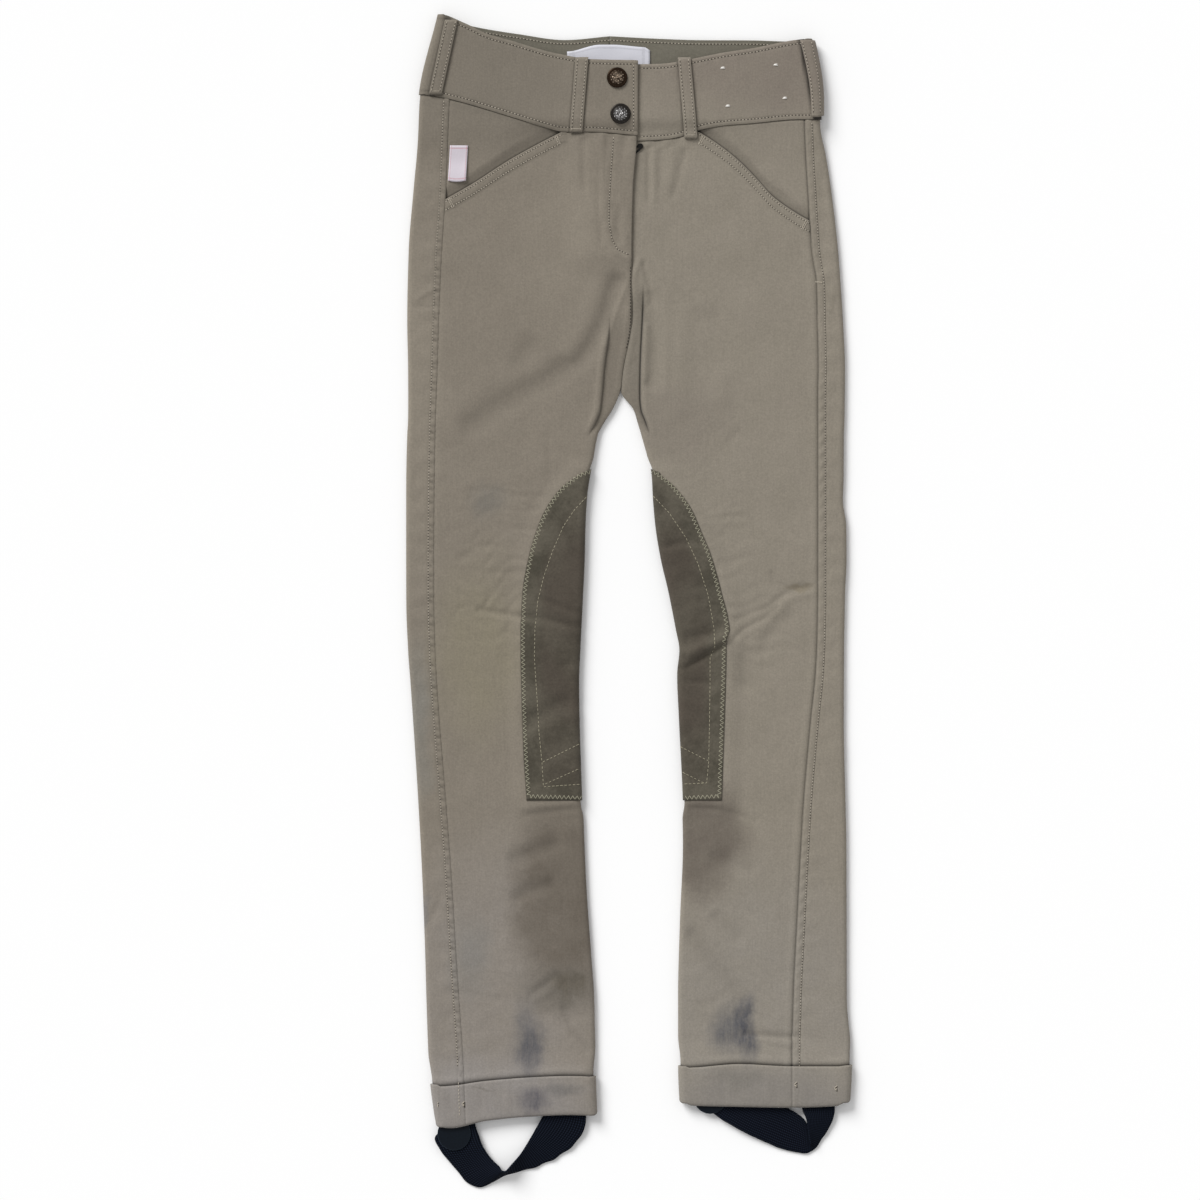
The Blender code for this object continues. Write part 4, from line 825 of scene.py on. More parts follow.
def with_height(side, layer, x, y, out=0.0, details=None):
    z = height_at(side, layer, x, y, out)
    if layer == LOWER:
        z = z + fold_heights(UNDER_FOLDS[side], x, y)
    if details is not None:
        z = z + details(side, x, y)
    return [(x[:, j], y[:, j], z[:, j]) for j in range(x.shape[1])]


# ---------------------------------------------------------------- seams, edges and stitched lines

def seam_line(side, y):
    return SECTIONS[side].at("seam", y)


def past_seam(side, x, y):
    """How far a point lies outside the side seam."""
    return (x - seam_line(side, y)) * side


def below_waist(side, x, y):
    return WAIST_FRONT[side].at("low", x) - y


def edge_roll(distance, depth, width=1.1):
    return -depth * bell(np.maximum(distance, 0.0), width)


def over_cuff(side, x, y):
    """How far a point lies above the top of the turned-up hem."""
    return y - CUFF[side].at("top", x)


def inside_patch(side, x, y):
    """How far a point lies inside the cut edge of the knee suede."""
    return np.minimum((patch_edge(side, y) - x) * side, y - PATCH_BOTTOM)


def loop_part(y, top, bottom):
    """How far down a belt loop a place lies, 0 to 1."""
    return np.clip((top[1] - y) / (top[1] - bottom[1]), 0.0, 1.0)


def above_cuff(side, x, y):
    """The leg bulges over the top of its turned-up hem and dips behind it."""
    rise = over_cuff(side, x, y)
    uneven = 0.75 + 0.25 * np.sin(x / 14.0 + side)
    return 0.9 * uneven * bell(rise - 4.0, 3.0) - 0.5 * bell(rise, 1.3)


def below_mouth(side, x, y):
    """How far a point of a front lies below the pocket mouth, or a large number elsewhere."""
    return np.where(side * (x - mouth_end(side)) > -4, POCKET_MOUTH[side].at("y", x) - y, 99.0)


def front_details(side, x, y):
    """A front's turned edges, its seam allowances and the puckers that the stitching pulls in."""
    to_seam = -past_seam(side, x, y)
    z = edge_roll(to_seam, 0.12 if side == RIGHT else 0.9, 1.2)
    z += (0.1 if side == RIGHT else 0.35) * bell(to_seam - 3.6, 2.4)
    below = below_mouth(side, x, y)
    z += np.where(below > -1, edge_roll(below, 0.45, 0.7), 0.0)
    z += 0.55 * smooth((below + 2) / 2) * (1 - smooth((below - MOUTH_STITCH[1]) / 2.4))
    for line in MOUTH_STITCH:
        z -= 0.42 * bell(below - line, 0.85)
    z += 0.16 * np.sin(x / 1.55 + 1.6 * np.sin(x / 13)) * bell(below - 5.2, 2.2)
    to_waist = below_waist(side, x, y)
    z += edge_roll(to_waist, 0.5, 1.5)
    z += 0.3 * np.sin(x / 2.4 + 1.7 * np.sin(x / 17)) * bell(to_waist - 3.0, 5.0)
    if side == RIGHT:
        away, share, length = along_path(x, y, FLY_STITCH)
        z -= 0.3 * bell(away, 1.2)
        z += 0.35 * bell(away - 3.0, 2.5) * smooth(share * 4)
        z += 0.16 * np.sin(share * length / 1.6) * bell(away, 5.0)
        placket = smooth((x + 30.0) / 6.0) * smooth((y - 284.0) / 14.0) * smooth((384.0 - y) / 12.0)
        z += 0.35 * placket * np.sin(x / 2.3 + 0.9 * np.sin(y / 17.0)) * np.sin(y / 29.0 + 0.6)
        z += edge_roll(np.where(y > 272, inner_edge(RIGHT, UPPER, y) - x, 99.0), 0.3, 0.9)
    z += above_cuff(side, x, y)
    centre = np.abs(x - inner_edge(side, UPPER, y))
    z += np.where((y > APEX_Y + 6) & (y < 285), edge_roll(centre, 0.4, 0.8), 0.0)
    return z + np.where(y > APEX_Y, 0.25 * bell(centre - 3.2, 1.8) * smooth((290 - y) / 20), 0.0)


def dimples(run, away):
    """Dimples that a chain of stitches pulls into a doubled strip, at uneven steps along it."""
    total = np.zeros(np.shape(run))
    first = np.round(run / DIMPLE_STEP)
    for offset in (-1, 0, 1):
        count = first + offset
        middle = DIMPLE_STEP * count + 1.3 * np.sin(2.7 * count + 1.0)
        size = 0.8 + 0.2 * np.sin(1.9 * count)
        past = run - middle - 0.6 * away
        total += size * (bell(past, 1.3) - 0.55 * bell(past - 2.7, 1.6)) * bell(away + 2.1, 1.9)
    return total * (1 - 0.4 * smooth((run - 290.0) / 30.0))


def back_details(side, x, y):
    """The strip of a back beside the side seam: a raised allowance, a stitched line and puckers."""
    stitch = SIDE_STITCH[side]
    from_seam = past_seam(side, x, y)
    z = edge_roll(from_seam, 0.12 if side == RIGHT else 0.7, 1.0)
    z += 0.38 * smooth(from_seam / 1.2) * (1 - smooth((from_seam - stitch + 0.4) / 1.2))
    z -= 0.3 * bell(from_seam - stitch, 0.8)
    if side == RIGHT:
        z -= 1.15 * dimples(y, from_seam - stitch)
    else:
        slant = np.sin(math.tau * (y - 0.9 * from_seam) / PUCKER_STEP + 1.4 * np.sin(y / 29.0))
        z += 0.26 * (0.6 + 0.4 * np.sin(y / 61.0)) * slant * bell(from_seam - stitch + 2.0, 3.0)
    z += 0.2 * np.sin(math.tau * y / 19.0 + 2 * np.sin(y / 43.0)) * bell(from_seam - stitch - 6.0, 6.0)
    z += above_cuff(side, x, y)
    return z + edge_roll(below_waist(side, x, y), 0.4, 1.5)


def front_painted_shade(side, x, y, z):
    """Painted shade on a front: darker in its seams and stitched lines, behind the pleats, under the band,
    in its creases and along the top of the cuff.
    """
    to_seam = -past_seam(side, x, y)
    dark = SEAM_SHADE[side] * bell(to_seam, 0.8)
    inward = (mark_line(side, y) - x) * side
    fall = smooth(inward / 2.0) * (1 - 0.45 * smooth((inward - 4.0) / 14.0))
    line = 0.85 * bell(inward - 1.2, 1.0) if side == LEFT else 0.3 * bell(inward - 1.0, 0.8)
    dark += pleat_zone(side, y) * ((0.2 if side == LEFT else 0.12) * fall + line)
    centre = np.abs(x - inner_edge(side, UPPER, y))
    dark += np.where((y > APEX_Y) & (y < 282), 0.2 * bell(centre, 0.7), 0.0)
    below = below_mouth(side, x, y)
    for line in MOUTH_STITCH:
        dark += 0.14 * bell(below - line, 0.8)
    dark += 0.05 * smooth((below + 2) / 2) * (1 - smooth((below - MOUTH_STITCH[1]) / 2.4))
    dark += 0.12 * bell(below_waist(side, x, y), 4.0)
    dark += 0.09 * np.clip(-fold_heights(FOLDS[side], x, y), 0.0, 1.0)
    if side == RIGHT:
        dark += 0.08 * bell(along_path(x, y, FLY_STITCH)[0], 0.9)
    return dark + 0.75 * bell(over_cuff(side, x, y), 1.8)


def back_painted_shade(side, x, y, z):
    # Painted shade on a back: darker in its seam, stitched line and puckers and along the top of the cuff;
    # only the upper layer gets it.
    stitch = SIDE_STITCH[side]
    from_seam = past_seam(side, x, y)
    dark = SEAM_SHADE[side] * bell(from_seam, 0.8) + 0.1 * bell(from_seam - stitch, 0.9)
    if side == RIGHT:
        dark += 0.34 * np.maximum(dimples(y, from_seam - stitch), 0.0)
    else:
        slant = np.sin(math.tau * (y - 0.9 * from_seam) / PUCKER_STEP)
        dark += 0.06 * slant * bell(from_seam - 4.0, 2.5)
    dark += 0.75 * bell(over_cuff(side, x, y), 1.8)
    return np.where(z > 4.0, dark, 0.0)


def facing_painted_shade(side, x, y, z):
    # Painted shade on a pocket facing: darker in its seam, under the front's edge at the pocket mouth and
    # under the band.
    to_seam = -past_seam(side, x, y)
    past = np.maximum(y - POCKET_MOUTH[side].at("y", x), 0.0)
    dark = SEAM_SHADE[side] * bell(to_seam, 0.8) + 0.75 * bell(past, 1.5) + 0.2 * bell(past, 8.0)
    return dark + 0.14 * bell(below_waist(side, x, y), 4.0)


def band_painted_shade(side, x, y, z):
    """Painted shade on the doubled band: darker in its stitched lines and under and beside its loops, more
    on their -X side, and only on its upper layer.
    """
    low, high = WAIST_FRONT[side].at("low", x), WAIST_FRONT[side].at("top", x)
    dark = 0.2 * (bell(y - low - BAND_STITCH, 0.9) + bell(high - y - BAND_STITCH, 0.9))
    for name, (loop_side, top, bottom) in (*FRONT_LOOPS.items(), *FOLDED_LOOPS.items()):
        if loop_side == side:
            along = loop_part(y, top, bottom)
            past = x - mix(top[0], bottom[0], along)
            folded = name in FOLDED_LOOPS
            strength = np.where(past < 0, 0.8 if folded else 0.55, 0.2)
            width = 1.1 + 1.1 * along if folded else 1.1
            dark += strength * bell(np.maximum(np.abs(past) - LOOP_WIDTH / 2, 0.0), width)
    return np.where(z > SHADED_INSIDE_Z, dark, 0.0)


def suede_grime(side, x, y, z):
    """The rubbed middle of a knee patch, which is browner than its edge."""
    to_edge = inside_patch(side, x, y)
    uneven = 0.74 + 0.26 * np.sin(y / 15.0 + 1.4 * np.sin(x / 12.0 + y / 41.0))
    ends = (0.35 + 0.65 * smooth((80.0 - y) / 50.0)) * (1 - 0.45 * smooth((-92.0 - y) / 30.0))
    return smooth((to_edge - 8.0) / 14.0) * uneven * ends


def facing_details(side, x, y):
    z = edge_roll(-past_seam(side, x, y), 0.2 if side == RIGHT else 0.9)
    return z + edge_roll(below_waist(side, x, y), 0.4, 1.5)


def cuff_details(side, x, y):
    """A turned-up hem: a soft roll at its top edge and a pressed fold at the bottom."""
    to_top, to_hem = -over_cuff(side, x, y), y - CUFF[side].at("hem", x)
    z = edge_roll(to_top, 0.5, 0.9) + edge_roll(to_hem, 0.9, 1.3)
    z += 0.25 * np.sin(x / 9.0 + side) * smooth(to_top / 8) * smooth(to_hem / 8)
    z += edge_roll(np.abs(x - seam_line(side, y)), 0.5, 1.0) - 0.2 * bell(to_top - 3.0, 1.6)
    return z + 0.1 * np.sin(x / 2.3 + 2 * np.sin(x / 19)) * bell(to_top, 5.0)


def patch_edge(side, y):
    """The cut edge of the suede on the upper layer, which runs out at the inner fold."""
    inner = inner_edge(side, UPPER, y)
    return inner + side * np.maximum((PATCH_EDGE[side].at("edge", y) - inner) * side, 5.3)


def patch_details(side, x, y):
    """The suede's pared edge, the zigzag pressed into it and the inner stitched lines."""
    to_edge = inside_patch(side, x, y)
    z = edge_roll(to_edge, 0.3, 0.7) - 0.16 * bell(to_edge - ZIGZAG_IN, 1.6)
    for line in PATCH_STITCH[side]:
        z -= 0.3 * bell(along_path(x, y, line)[0], 0.9)
    return z


# ---------------------------------------------------------------- making meshes

def mesh_from(form, name):
    mesh = bpy.data.meshes.new(name)
    form.to_mesh(mesh)
    form.free()
    return mesh


def add_object(name, data):
    made = bpy.data.objects.new(name, data)
    bpy.context.scene.collection.objects.link(made)
    return made


def add_piece(name, mesh, material, nodes):
    """A finished piece: it rides with the trousers and stands for the solids it covers."""
    piece = add_object(name, mesh)
    mesh.materials.clear()
    mesh.materials.append(material)
    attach(piece, "trousers")
    if nodes:
        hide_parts(*nodes)
    return piece


def grid_mesh(name, grid, uv):
    """A sheet over a grid of points, in rows."""
    count, width = grid.shape[:2]
    index = np.arange(count * width).reshape(count, width)
    quads = np.stack((index[:-1, :-1], index[:-1, 1:], index[1:, 1:], index[1:, :-1]), axis=-1)
    mesh = bpy.data.meshes.new(name)
    mesh.from_pydata((grid.reshape(-1, 3) * MM).tolist(), [], quads.reshape(-1, 4).tolist())
    mesh.shade_smooth()
    if uv:
        layer = mesh.uv_layers.new(name="cloth")
        u, v = np.meshgrid(np.linspace(0, 1, width), np.linspace(0, 1, count))
        flat = np.stack((u.reshape(-1), v.reshape(-1)), axis=1)
        corners = np.empty(len(mesh.loops), dtype=np.int64)
        mesh.loops.foreach_get("vertex_index", corners)
        layer.data.foreach_set("uv", flat[corners].reshape(-1))
    return mesh


def paint(mesh, name, shares):
    """Keeps a share, 0 to 1, at each point of a mesh for its finish to read."""
    mesh.attributes.new(name, "FLOAT", "POINT").data.foreach_set("value", shares.astype(np.float32))


def paint_inside_shade(piece, below):
    """Gives the faces of the lower layer a darker copy of the cloth's finish: painted shade on the inside,
    which shows past the front.
    """
    piece.data.materials.append(FINISH["shaded_inside"])
    for face in piece.data.polygons:
        if face.center.z < below * MM:
            face.material_index = 1


def add_cloth(name, grid, thickness, material, node, uv=False, shade_and_wear=None):
    """A cloth piece over a grid, thickened about its middle, that hides the solid it stands for."""
    mesh = grid_mesh(name, grid, uv)
    if shade_and_wear is not None:
        paint(mesh, "shade_and_wear", np.clip(shade_and_wear(*grid.reshape(-1, 3).T), 0.0, 1.0))
    piece = add_piece(name, mesh, material, [node])
    wall = piece.modifiers.new("wall", "SOLIDIFY")
    wall.thickness = thickness * MM
    wall.offset = 0.0
    return piece


# ---------------------------------------------------------------- finishes

def linear(colour):
    """An sRGB hex colour as linear light."""
    parts = [int(colour[i:i + 2], 16) / 255 for i in (1, 3, 5)]
    return (*[p / 12.92 if p <= 0.04045 else ((p + 0.055) / 1.055) ** 2.4 for p in parts], 1.0)


def result_of(node):
    """The first output that a node has in use."""
    return next(socket for socket in node.outputs if socket.enabled)


def add_node(tree, kind, inputs=(), **settings):
    """Adds a node, sets its properties, and gives its inputs values or links."""
    made = tree.nodes.new(kind if "Node" in kind else "ShaderNode" + kind)
    for key, value in settings.items():
        setattr(made, key, value)
    for socket, value in dict(inputs).items():
        if isinstance(value, bpy.types.Node):
            value = result_of(value)
        if isinstance(value, bpy.types.NodeSocket):
            tree.links.new(value, made.inputs[socket])
        else:
            made.inputs[socket].default_value = value
    return made


def new_finish(name, values):
    """A material with its shader's own values, and the call that adds nodes to it."""
    finish = bpy.data.materials.new(name)
    finish.use_nodes = True
    for socket, value in values.items():
        finish.node_tree.nodes["Principled BSDF"].inputs[socket].default_value = value
    return finish, partial(add_node, finish.node_tree)


def finished(finish, **sources):
    """Joins the last nodes of a finish to its shader."""
    tree = finish.node_tree
    for socket, source in sources.items():
        tree.links.new(result_of(source), tree.nodes["Principled BSDF"].inputs[socket.replace("_", " ")])
    return finish


def spot(node, where, x, y, wide, high, soft):
    """A soft round patch, 1 in the middle and 0 at its edge, broken up by a noise."""
    moved = node("Mapping", {
        "Vector": where, "Location": (-x / wide, -y / high, 0.0),
        "Scale": (1 / (wide * MM), 1 / (high * MM), 0.0)})
    ball = node("TexGradient", {"Vector": moved}, gradient_type="SPHERICAL")
    return node("MapRange", {
        "Value": ball.outputs["Fac"], "From Min": 0.0, "From Max": soft}, interpolation_type="SMOOTHSTEP")


def twill(name, base, light, spots=(), stains=()):
    """Bonded cotton twill: a fine steep twill, 0.6 mm from ridge to ridge, with uneven warp threads.

    It gives the eye a dry matt cloth with a faint upright grain and soft clouds of wear, darkened further
    by the painted shade that a mesh may carry."""
    finish, node = new_finish(name, {
        "Roughness": 0.93, "Specular IOR Level": 0.25, "Sheen Weight": 0.12, "Sheen Roughness": 0.5})
    where = node("TexCoord").outputs["Object"]
    grain = node("TexNoise", {"Vector": where, "Scale": 650.0, "Detail": 3.0, "Roughness": 0.7})
    mottle = node("TexNoise", {"Vector": where, "Scale": 42.0, "Detail": 4.0, "Roughness": 0.65})
    cloud = node("TexNoise", {"Vector": where, "Scale": 24.0, "Detail": 4.0, "Roughness": 0.6})
    colour = node("Mix", {"Factor": mottle, "A": linear(base), "B": linear(light)}, data_type="RGBA")
    pushed = node("VectorMath", {
        0: cloud.outputs["Color"], 1: (0.032, 0.032, 0.0), 2: where}, operation="MULTIPLY_ADD")
    uneven = node("VectorMath", {0: pushed, 1: (-0.016, -0.016, 0.0)}, operation="ADD")
    even_tone = node("MapRange", {
        "Value": mottle, "From Min": 0.3, "From Max": 0.65, "To Min": 0.7, "To Max": 1.0})
    streaked_at = node("Mapping", {"Vector": where, "Scale": (260.0, 60.0, 0.0)})
    streaks = node("TexNoise", {"Vector": streaked_at, "Scale": 1.0, "Detail": 4.0, "Roughness": 0.75})
    streaked = node("MapRange", {
        "Value": streaks, "From Min": 0.3, "From Max": 0.62, "To Min": 0.5, "To Max": 1.0})
    for texture, group in ((even_tone, spots), (streaked, stains)):
        for tint, strength, soft, *place in group:
            share = node("Math", {0: spot(node, uneven, *place, soft), 1: strength}, operation="MULTIPLY")
            share = node("Math", {0: share, 1: texture}, operation="MULTIPLY")
            colour = node("Mix", {"Factor": share, "A": colour, "B": linear(tint)}, data_type="RGBA")
    weave_at = node("Mapping", {"Vector": where, "Rotation": (0.0, 0.0, math.radians(63))})
    weave = node("TexWave", {
        "Vector": weave_at, "Scale": 523.0, "Distortion": 0.6, "Detail": 2.0, "Detail Scale": 3.0},
        wave_type="BANDS", bands_direction="X")
    flecks = node("MapRange", {
        "Value": grain, "From Min": 0.3, "From Max": 0.7, "To Min": 0.87, "To Max": 1.09})
    warp_at = node("Mapping", {"Vector": where, "Scale": (1100.0, 55.0, 55.0)})
    warp = node("TexNoise", {"Vector": warp_at, "Scale": 1.0, "Detail": 2.0, "Roughness": 0.6})
    ribs = node("MapRange", {
        "Value": warp, "From Min": 0.3, "From Max": 0.7, "To Min": 0.965, "To Max": 1.03})
    # Painted shade: the share that the mesh carries darkens the twill's colour.
    shade_and_wear = node("Attribute", attribute_name="shade_and_wear", attribute_type="GEOMETRY")
    unshaded = node("Math", {0: 1.0, 1: shade_and_wear.outputs["Fac"]}, operation="SUBTRACT")
    shade = node("Math", {0: flecks, 1: ribs}, operation="MULTIPLY")
    shade = node("Math", {0: shade, 1: unshaded}, operation="MULTIPLY")
    toned = node("VectorMath", {0: colour, "Scale": shade}, operation="SCALE")
    rough = node("Math", {0: grain, 1: weave.outputs["Fac"]}, operation="ADD")
    bump = node("Bump", {"Height": rough, "Strength": 0.35, "Distance": 0.00025})
    creased = node("TexNoise", {"Vector": where, "Scale": 130.0, "Detail": 3.0, "Roughness": 0.6})
    bump = node("Bump", {"Height": creased, "Strength": 0.4, "Distance": 0.0005, "Normal": bump})
    return finished(finish, Base_Color=toned, Normal=bump)


def suede(name, base, worn, rubbed):
    """Split leather with its nap up: dark, matt, and clouded and browner where it is rubbed."""
    finish, node = new_finish(name, {"Roughness": 0.96, "Specular IOR Level": 0.2, "Sheen Weight": 0.15})
    where = node("TexCoord").outputs["Object"]
    cloud = node("TexNoise", {"Vector": where, "Scale": 34.0, "Detail": 5.0, "Roughness": 0.7})
    nap = node("TexNoise", {"Vector": where, "Scale": 520.0, "Detail": 4.0, "Roughness": 0.75})
    factor = node("MapRange", {
        "Value": cloud, "From Min": 0.36, "From Max": 0.62}, interpolation_type="SMOOTHSTEP")
    colour = node("Mix", {"Factor": factor, "A": linear(base), "B": linear(worn)}, data_type="RGBA")
    # On suede this share is the rubbed middle, which is real wear.
    middle = node("Attribute", attribute_name="shade_and_wear", attribute_type="GEOMETRY")
    share = node("Math", {0: middle.outputs["Fac"], 1: 0.75}, operation="MULTIPLY")
    colour = node("Mix", {"Factor": share, "A": colour, "B": linear(rubbed)}, data_type="RGBA")
    flecks = node("MapRange", {
        "Value": nap, "From Min": 0.3, "From Max": 0.7, "To Min": 0.82, "To Max": 1.14})
    toned = node("VectorMath", {0: colour, "Scale": flecks}, operation="SCALE")
    bump = node("Bump", {"Height": nap, "Strength": 0.5, "Distance": 0.0004})
    return finished(finish, Base_Color=toned, Normal=bump)


def elastic(name, base, rib):
    """Knitted elastic webbing: fine cords run along it, crossed by finer picks."""
    finish, node = new_finish(name, {"Roughness": 0.85, "Specular IOR Level": 0.05})
    cloth = node("UVMap", uv_map="cloth")
    cords_at = node("Mapping", {"Vector": cloth, "Scale": (1.0, 0.0, 0.0)})
    cords = node("TexWave", {"Vector": cords_at, "Scale": 5.2, "Distortion": 0.0})
    picks_at = node("Mapping", {"Vector": cloth, "Scale": (0.0, 1.0, 0.0)})
    picks = node("TexWave", {"Vector": picks_at, "Scale": 30.0, "Distortion": 0.0}, bands_direction="Y")
    both = node("Math", {0: cords.outputs["Fac"], 1: picks.outputs["Fac"]}, operation="MULTIPLY")
    colour = node("Mix", {"Factor": both, "A": linear(base), "B": linear(rib)}, data_type="RGBA")
    height = node("Math", {0: cords.outputs["Fac"], 1: both}, operation="ADD")
    bump = node("Bump", {"Height": height, "Strength": 0.6, "Distance": 0.0004})
    return finished(finish, Base_Color=colour, Normal=bump)


def satin(name, ground, border):
    """Woven satin label: pale and faintly lustrous, with a plain woven border."""
    finish, node = new_finish(name, {"Roughness": 0.55})
    cloth = node("UVMap", uv_map="cloth")
    where = node("TexCoord").outputs["Object"]
    threads = node("TexNoise", {"Vector": where, "Scale": 900.0, "Detail": 2.0})
    parts = node("SeparateXYZ", {"Vector": cloth})
    bands = []
    for axis in ("X", "Y"):
        away = node("Math", {0: parts.outputs[axis], 1: 0.5}, operation="SUBTRACT")
        away = node("Math", {0: away}, operation="ABSOLUTE")
        bands.append(node("Math", {0: away, 1: 0.42, 2: 0.018}, operation="COMPARE"))
    edge = node("Math", {0: bands[0], 1: bands[1]}, operation="MAXIMUM")
    share = node("Math", {0: edge, 1: threads}, operation="MULTIPLY")
    colour = node("Mix", {"Factor": share, "A": linear(ground), "B": linear(border)}, data_type="RGBA")
    bump = node("Bump", {"Height": threads, "Strength": 0.4, "Distance": 0.0003})
    return finished(finish, Base_Color=colour, Normal=bump)


def antiqued_brass(name, dark, rubbed):
    """Brass darkened in a bath and rubbed back, so that the raised parts are paler."""
    finish, node = new_finish(name, {"Metallic": 1.0, "Roughness": 0.34})
    where = node("TexCoord").outputs["Object"]
    cloud = node("TexNoise", {"Vector": where, "Scale": 420.0, "Detail": 4.0})
    raised = node("Attribute", attribute_name="raised", attribute_type="GEOMETRY")
    catch = node("MapRange", {"Value": cloud, "From Min": 0.35, "From Max": 0.6})
    share = node("Math", {0: raised.outputs["Fac"], 1: catch}, operation="MULTIPLY")
    colour = node("Mix", {"Factor": share, "A": linear(dark), "B": linear(rubbed)}, data_type="RGBA")
    bump = node("Bump", {"Height": cloud, "Strength": 0.3, "Distance": 0.0002})
    return finished(finish, Base_Color=colour, Normal=bump)


def spun_thread(name, colour):
    """Spun polyester thread, matt with a faint fleck."""
    finish, node = new_finish(name, {"Roughness": 0.8})
    where = node("TexCoord").outputs["Object"]
    twist = node("TexNoise", {"Vector": where, "Scale": 1500.0})
    tone = node("MapRange", {"Value": twist, "To Min": 0.75, "To Max": 1.2})
    toned = node("VectorMath", {0: linear(colour)[:3], "Scale": tone}, operation="SCALE")
    return finished(finish, Base_Color=toned)


def grip_rubber(name, colour, edge):
    """Moulded rubber or enamel with a fine stipple, and a paler painted highlight where its faces turn away
    from straight up at the edges.
    """
    finish, node = new_finish(name, {"Roughness": 0.5, "Specular IOR Level": 0.12})
    where = node("TexCoord").outputs["Object"]
    stipple = node("TexVoronoi", {"Vector": where, "Scale": 700.0})
    tone = node("MapRange", {"Value": stipple, "To Min": 1.15, "To Max": 0.8})
    facing = node("NewGeometry").outputs["True Normal"]
    heading = node("SeparateXYZ", {"Vector": facing}).outputs["Z"]
    rim_highlight = node("MapRange", {"Value": heading, "From Min": 0.97, "From Max": 0.6})
    mixed = node("Mix", {"Factor": rim_highlight, "A": linear(colour), "B": linear(edge)}, data_type="RGBA")
    toned = node("VectorMath", {0: mixed, "Scale": tone}, operation="SCALE")
    bump = node("Bump", {"Height": stipple, "Strength": 0.4, "Distance": 0.0002})
    return finished(finish, Base_Color=toned, Normal=bump)


FINISH = {
    "right": twill("bonded_twill_right", "#7f776b", "#877f73", TONES[RIGHT], STAINS[RIGHT]),
    "left": twill("bonded_twill_left", "#878073", "#8f877b", TONES[LEFT], STAINS[LEFT]),
    "suede": suede("split_suede", "#48443a", "#5c574c", "#4c443c"),
    "elastic": elastic("knitted_elastic", "#06080f", "#232a38"),
    "waist_label": satin("satin_label_waist", "#cacad2", "#b3b3ba"),
    "side_label": satin("satin_label_side", "#cfc7cf", "#c08890"),
    "brass": antiqued_brass("antiqued_brass", "#32271e", "#c9b5a0"),
    "rubbed_brass": antiqued_brass("antiqued_brass_rubbed", "#35322f", "#f0eeee"),
    "thread": spun_thread("spun_thread_khaki", "#b6ad9e"),
    # Dark thread for the needle holes and for the copies beside the hem ties: painted shade.
    "dark_thread": spun_thread("spun_thread_shaded", "#39332c"),
    "pale_thread": spun_thread("spun_thread_patch", "#a69f88"),
    "edge_thread": spun_thread("spun_thread_zigzag", "#b8b49d"),
    # A darker copy of the twill for the inside of the back band: painted shade.
    "shaded_inside": twill("bonded_twill_inside_painted_shade", "#6b675b", "#736f64"),
    "white_thread": spun_thread("spun_thread_tack", "#ece9e4"),
    # The second colour of the rubber and of the enamel is a painted highlight at their turned edges.
    "rubber": grip_rubber("grip_rubber", "#0c131b", "#3c4853"),
    "tape": twill("woven_zip_tape", "#6e675c", "#777063"),
    "enamel": grip_rubber("dark_enamel", "#171615", "#5d5852"),
}


# ---------------------------------------------------------------- the panels

def front_stations(side):
    """Station lines of a front, from the side seam to the start of the inner fold."""
    mark = partial(mark_line, side)

    def seam(y):
        return seam_line(side, y) - side * SEAM_SHOWN / 2

    def low_mark(y):
        room = np.abs(mark(y) - inner_edge(side, UPPER, y)) - FOLD_RADIUS
        return mark(y) - side * np.minimum(MARK_STEP, room * 0.4)

    def pleat(y):
        room = np.abs(mark(y) - seam(y))
        return mark(y) + side * np.minimum(6.0, room * 0.3)

    close = beside(seam, -side, 0.0, 0.6, 1.2, 2.0, 3.0, 4.4)
    inner = partial(inner_bend, side, UPPER)
    return [*close, *between(close[-1], pleat, 54), *between(pleat, mark, 4, ends=True)[:-1],
            *between(mark, low_mark, 3, ends=True), *between(low_mark, inner, 19)]


def add_front(side, name):
    limits = partial(leg_limits, side, partial(front_top, side))
    x, y = lay_grid(front_stations(side), FRONT_ROWS, limits)
    columns = with_height(side, UPPER, x, y, details=front_details)
    for x, y, z in inner_end(side, UPPER, rows_on(partial(inner_edge, side, UPPER), FRONT_ROWS, limits)):
        columns.append((x, y, z + np.where(y > APEX_Y, front_details(side, x, y), 0.0)))
    add_cloth("front_panel_" + name, grid_of(columns), CLOTH, FINISH[name],
              "front_" + name, shade_and_wear=partial(front_painted_shade, side))


def back_upper_stations(side):
    def seam(y):
        return seam_line(side, y) + side * SEAM_SHOWN / 2

    stitch = SIDE_STITCH[side]
    close = beside(seam, side, 0.0, 0.6, 1.2, 1.8, 2.5, 3.2, 3.9, stitch - 0.6, stitch, stitch + 0.6,
                   stitch + 1.3, stitch + 2.4)
    return [*close, *between(close[-1], partial(outer_bend, side), 6)]


def back_lower_stations(side, patch=False):
    mark, inner = partial(back_mark, side), partial(inner_bend, side, LOWER)
    if patch:
        return between(inner, mark, 9, ends=True)[1:]
    return [*between(partial(outer_bend, side), mark, 15), *between(mark, inner, 7, ends=True)[:-1]]


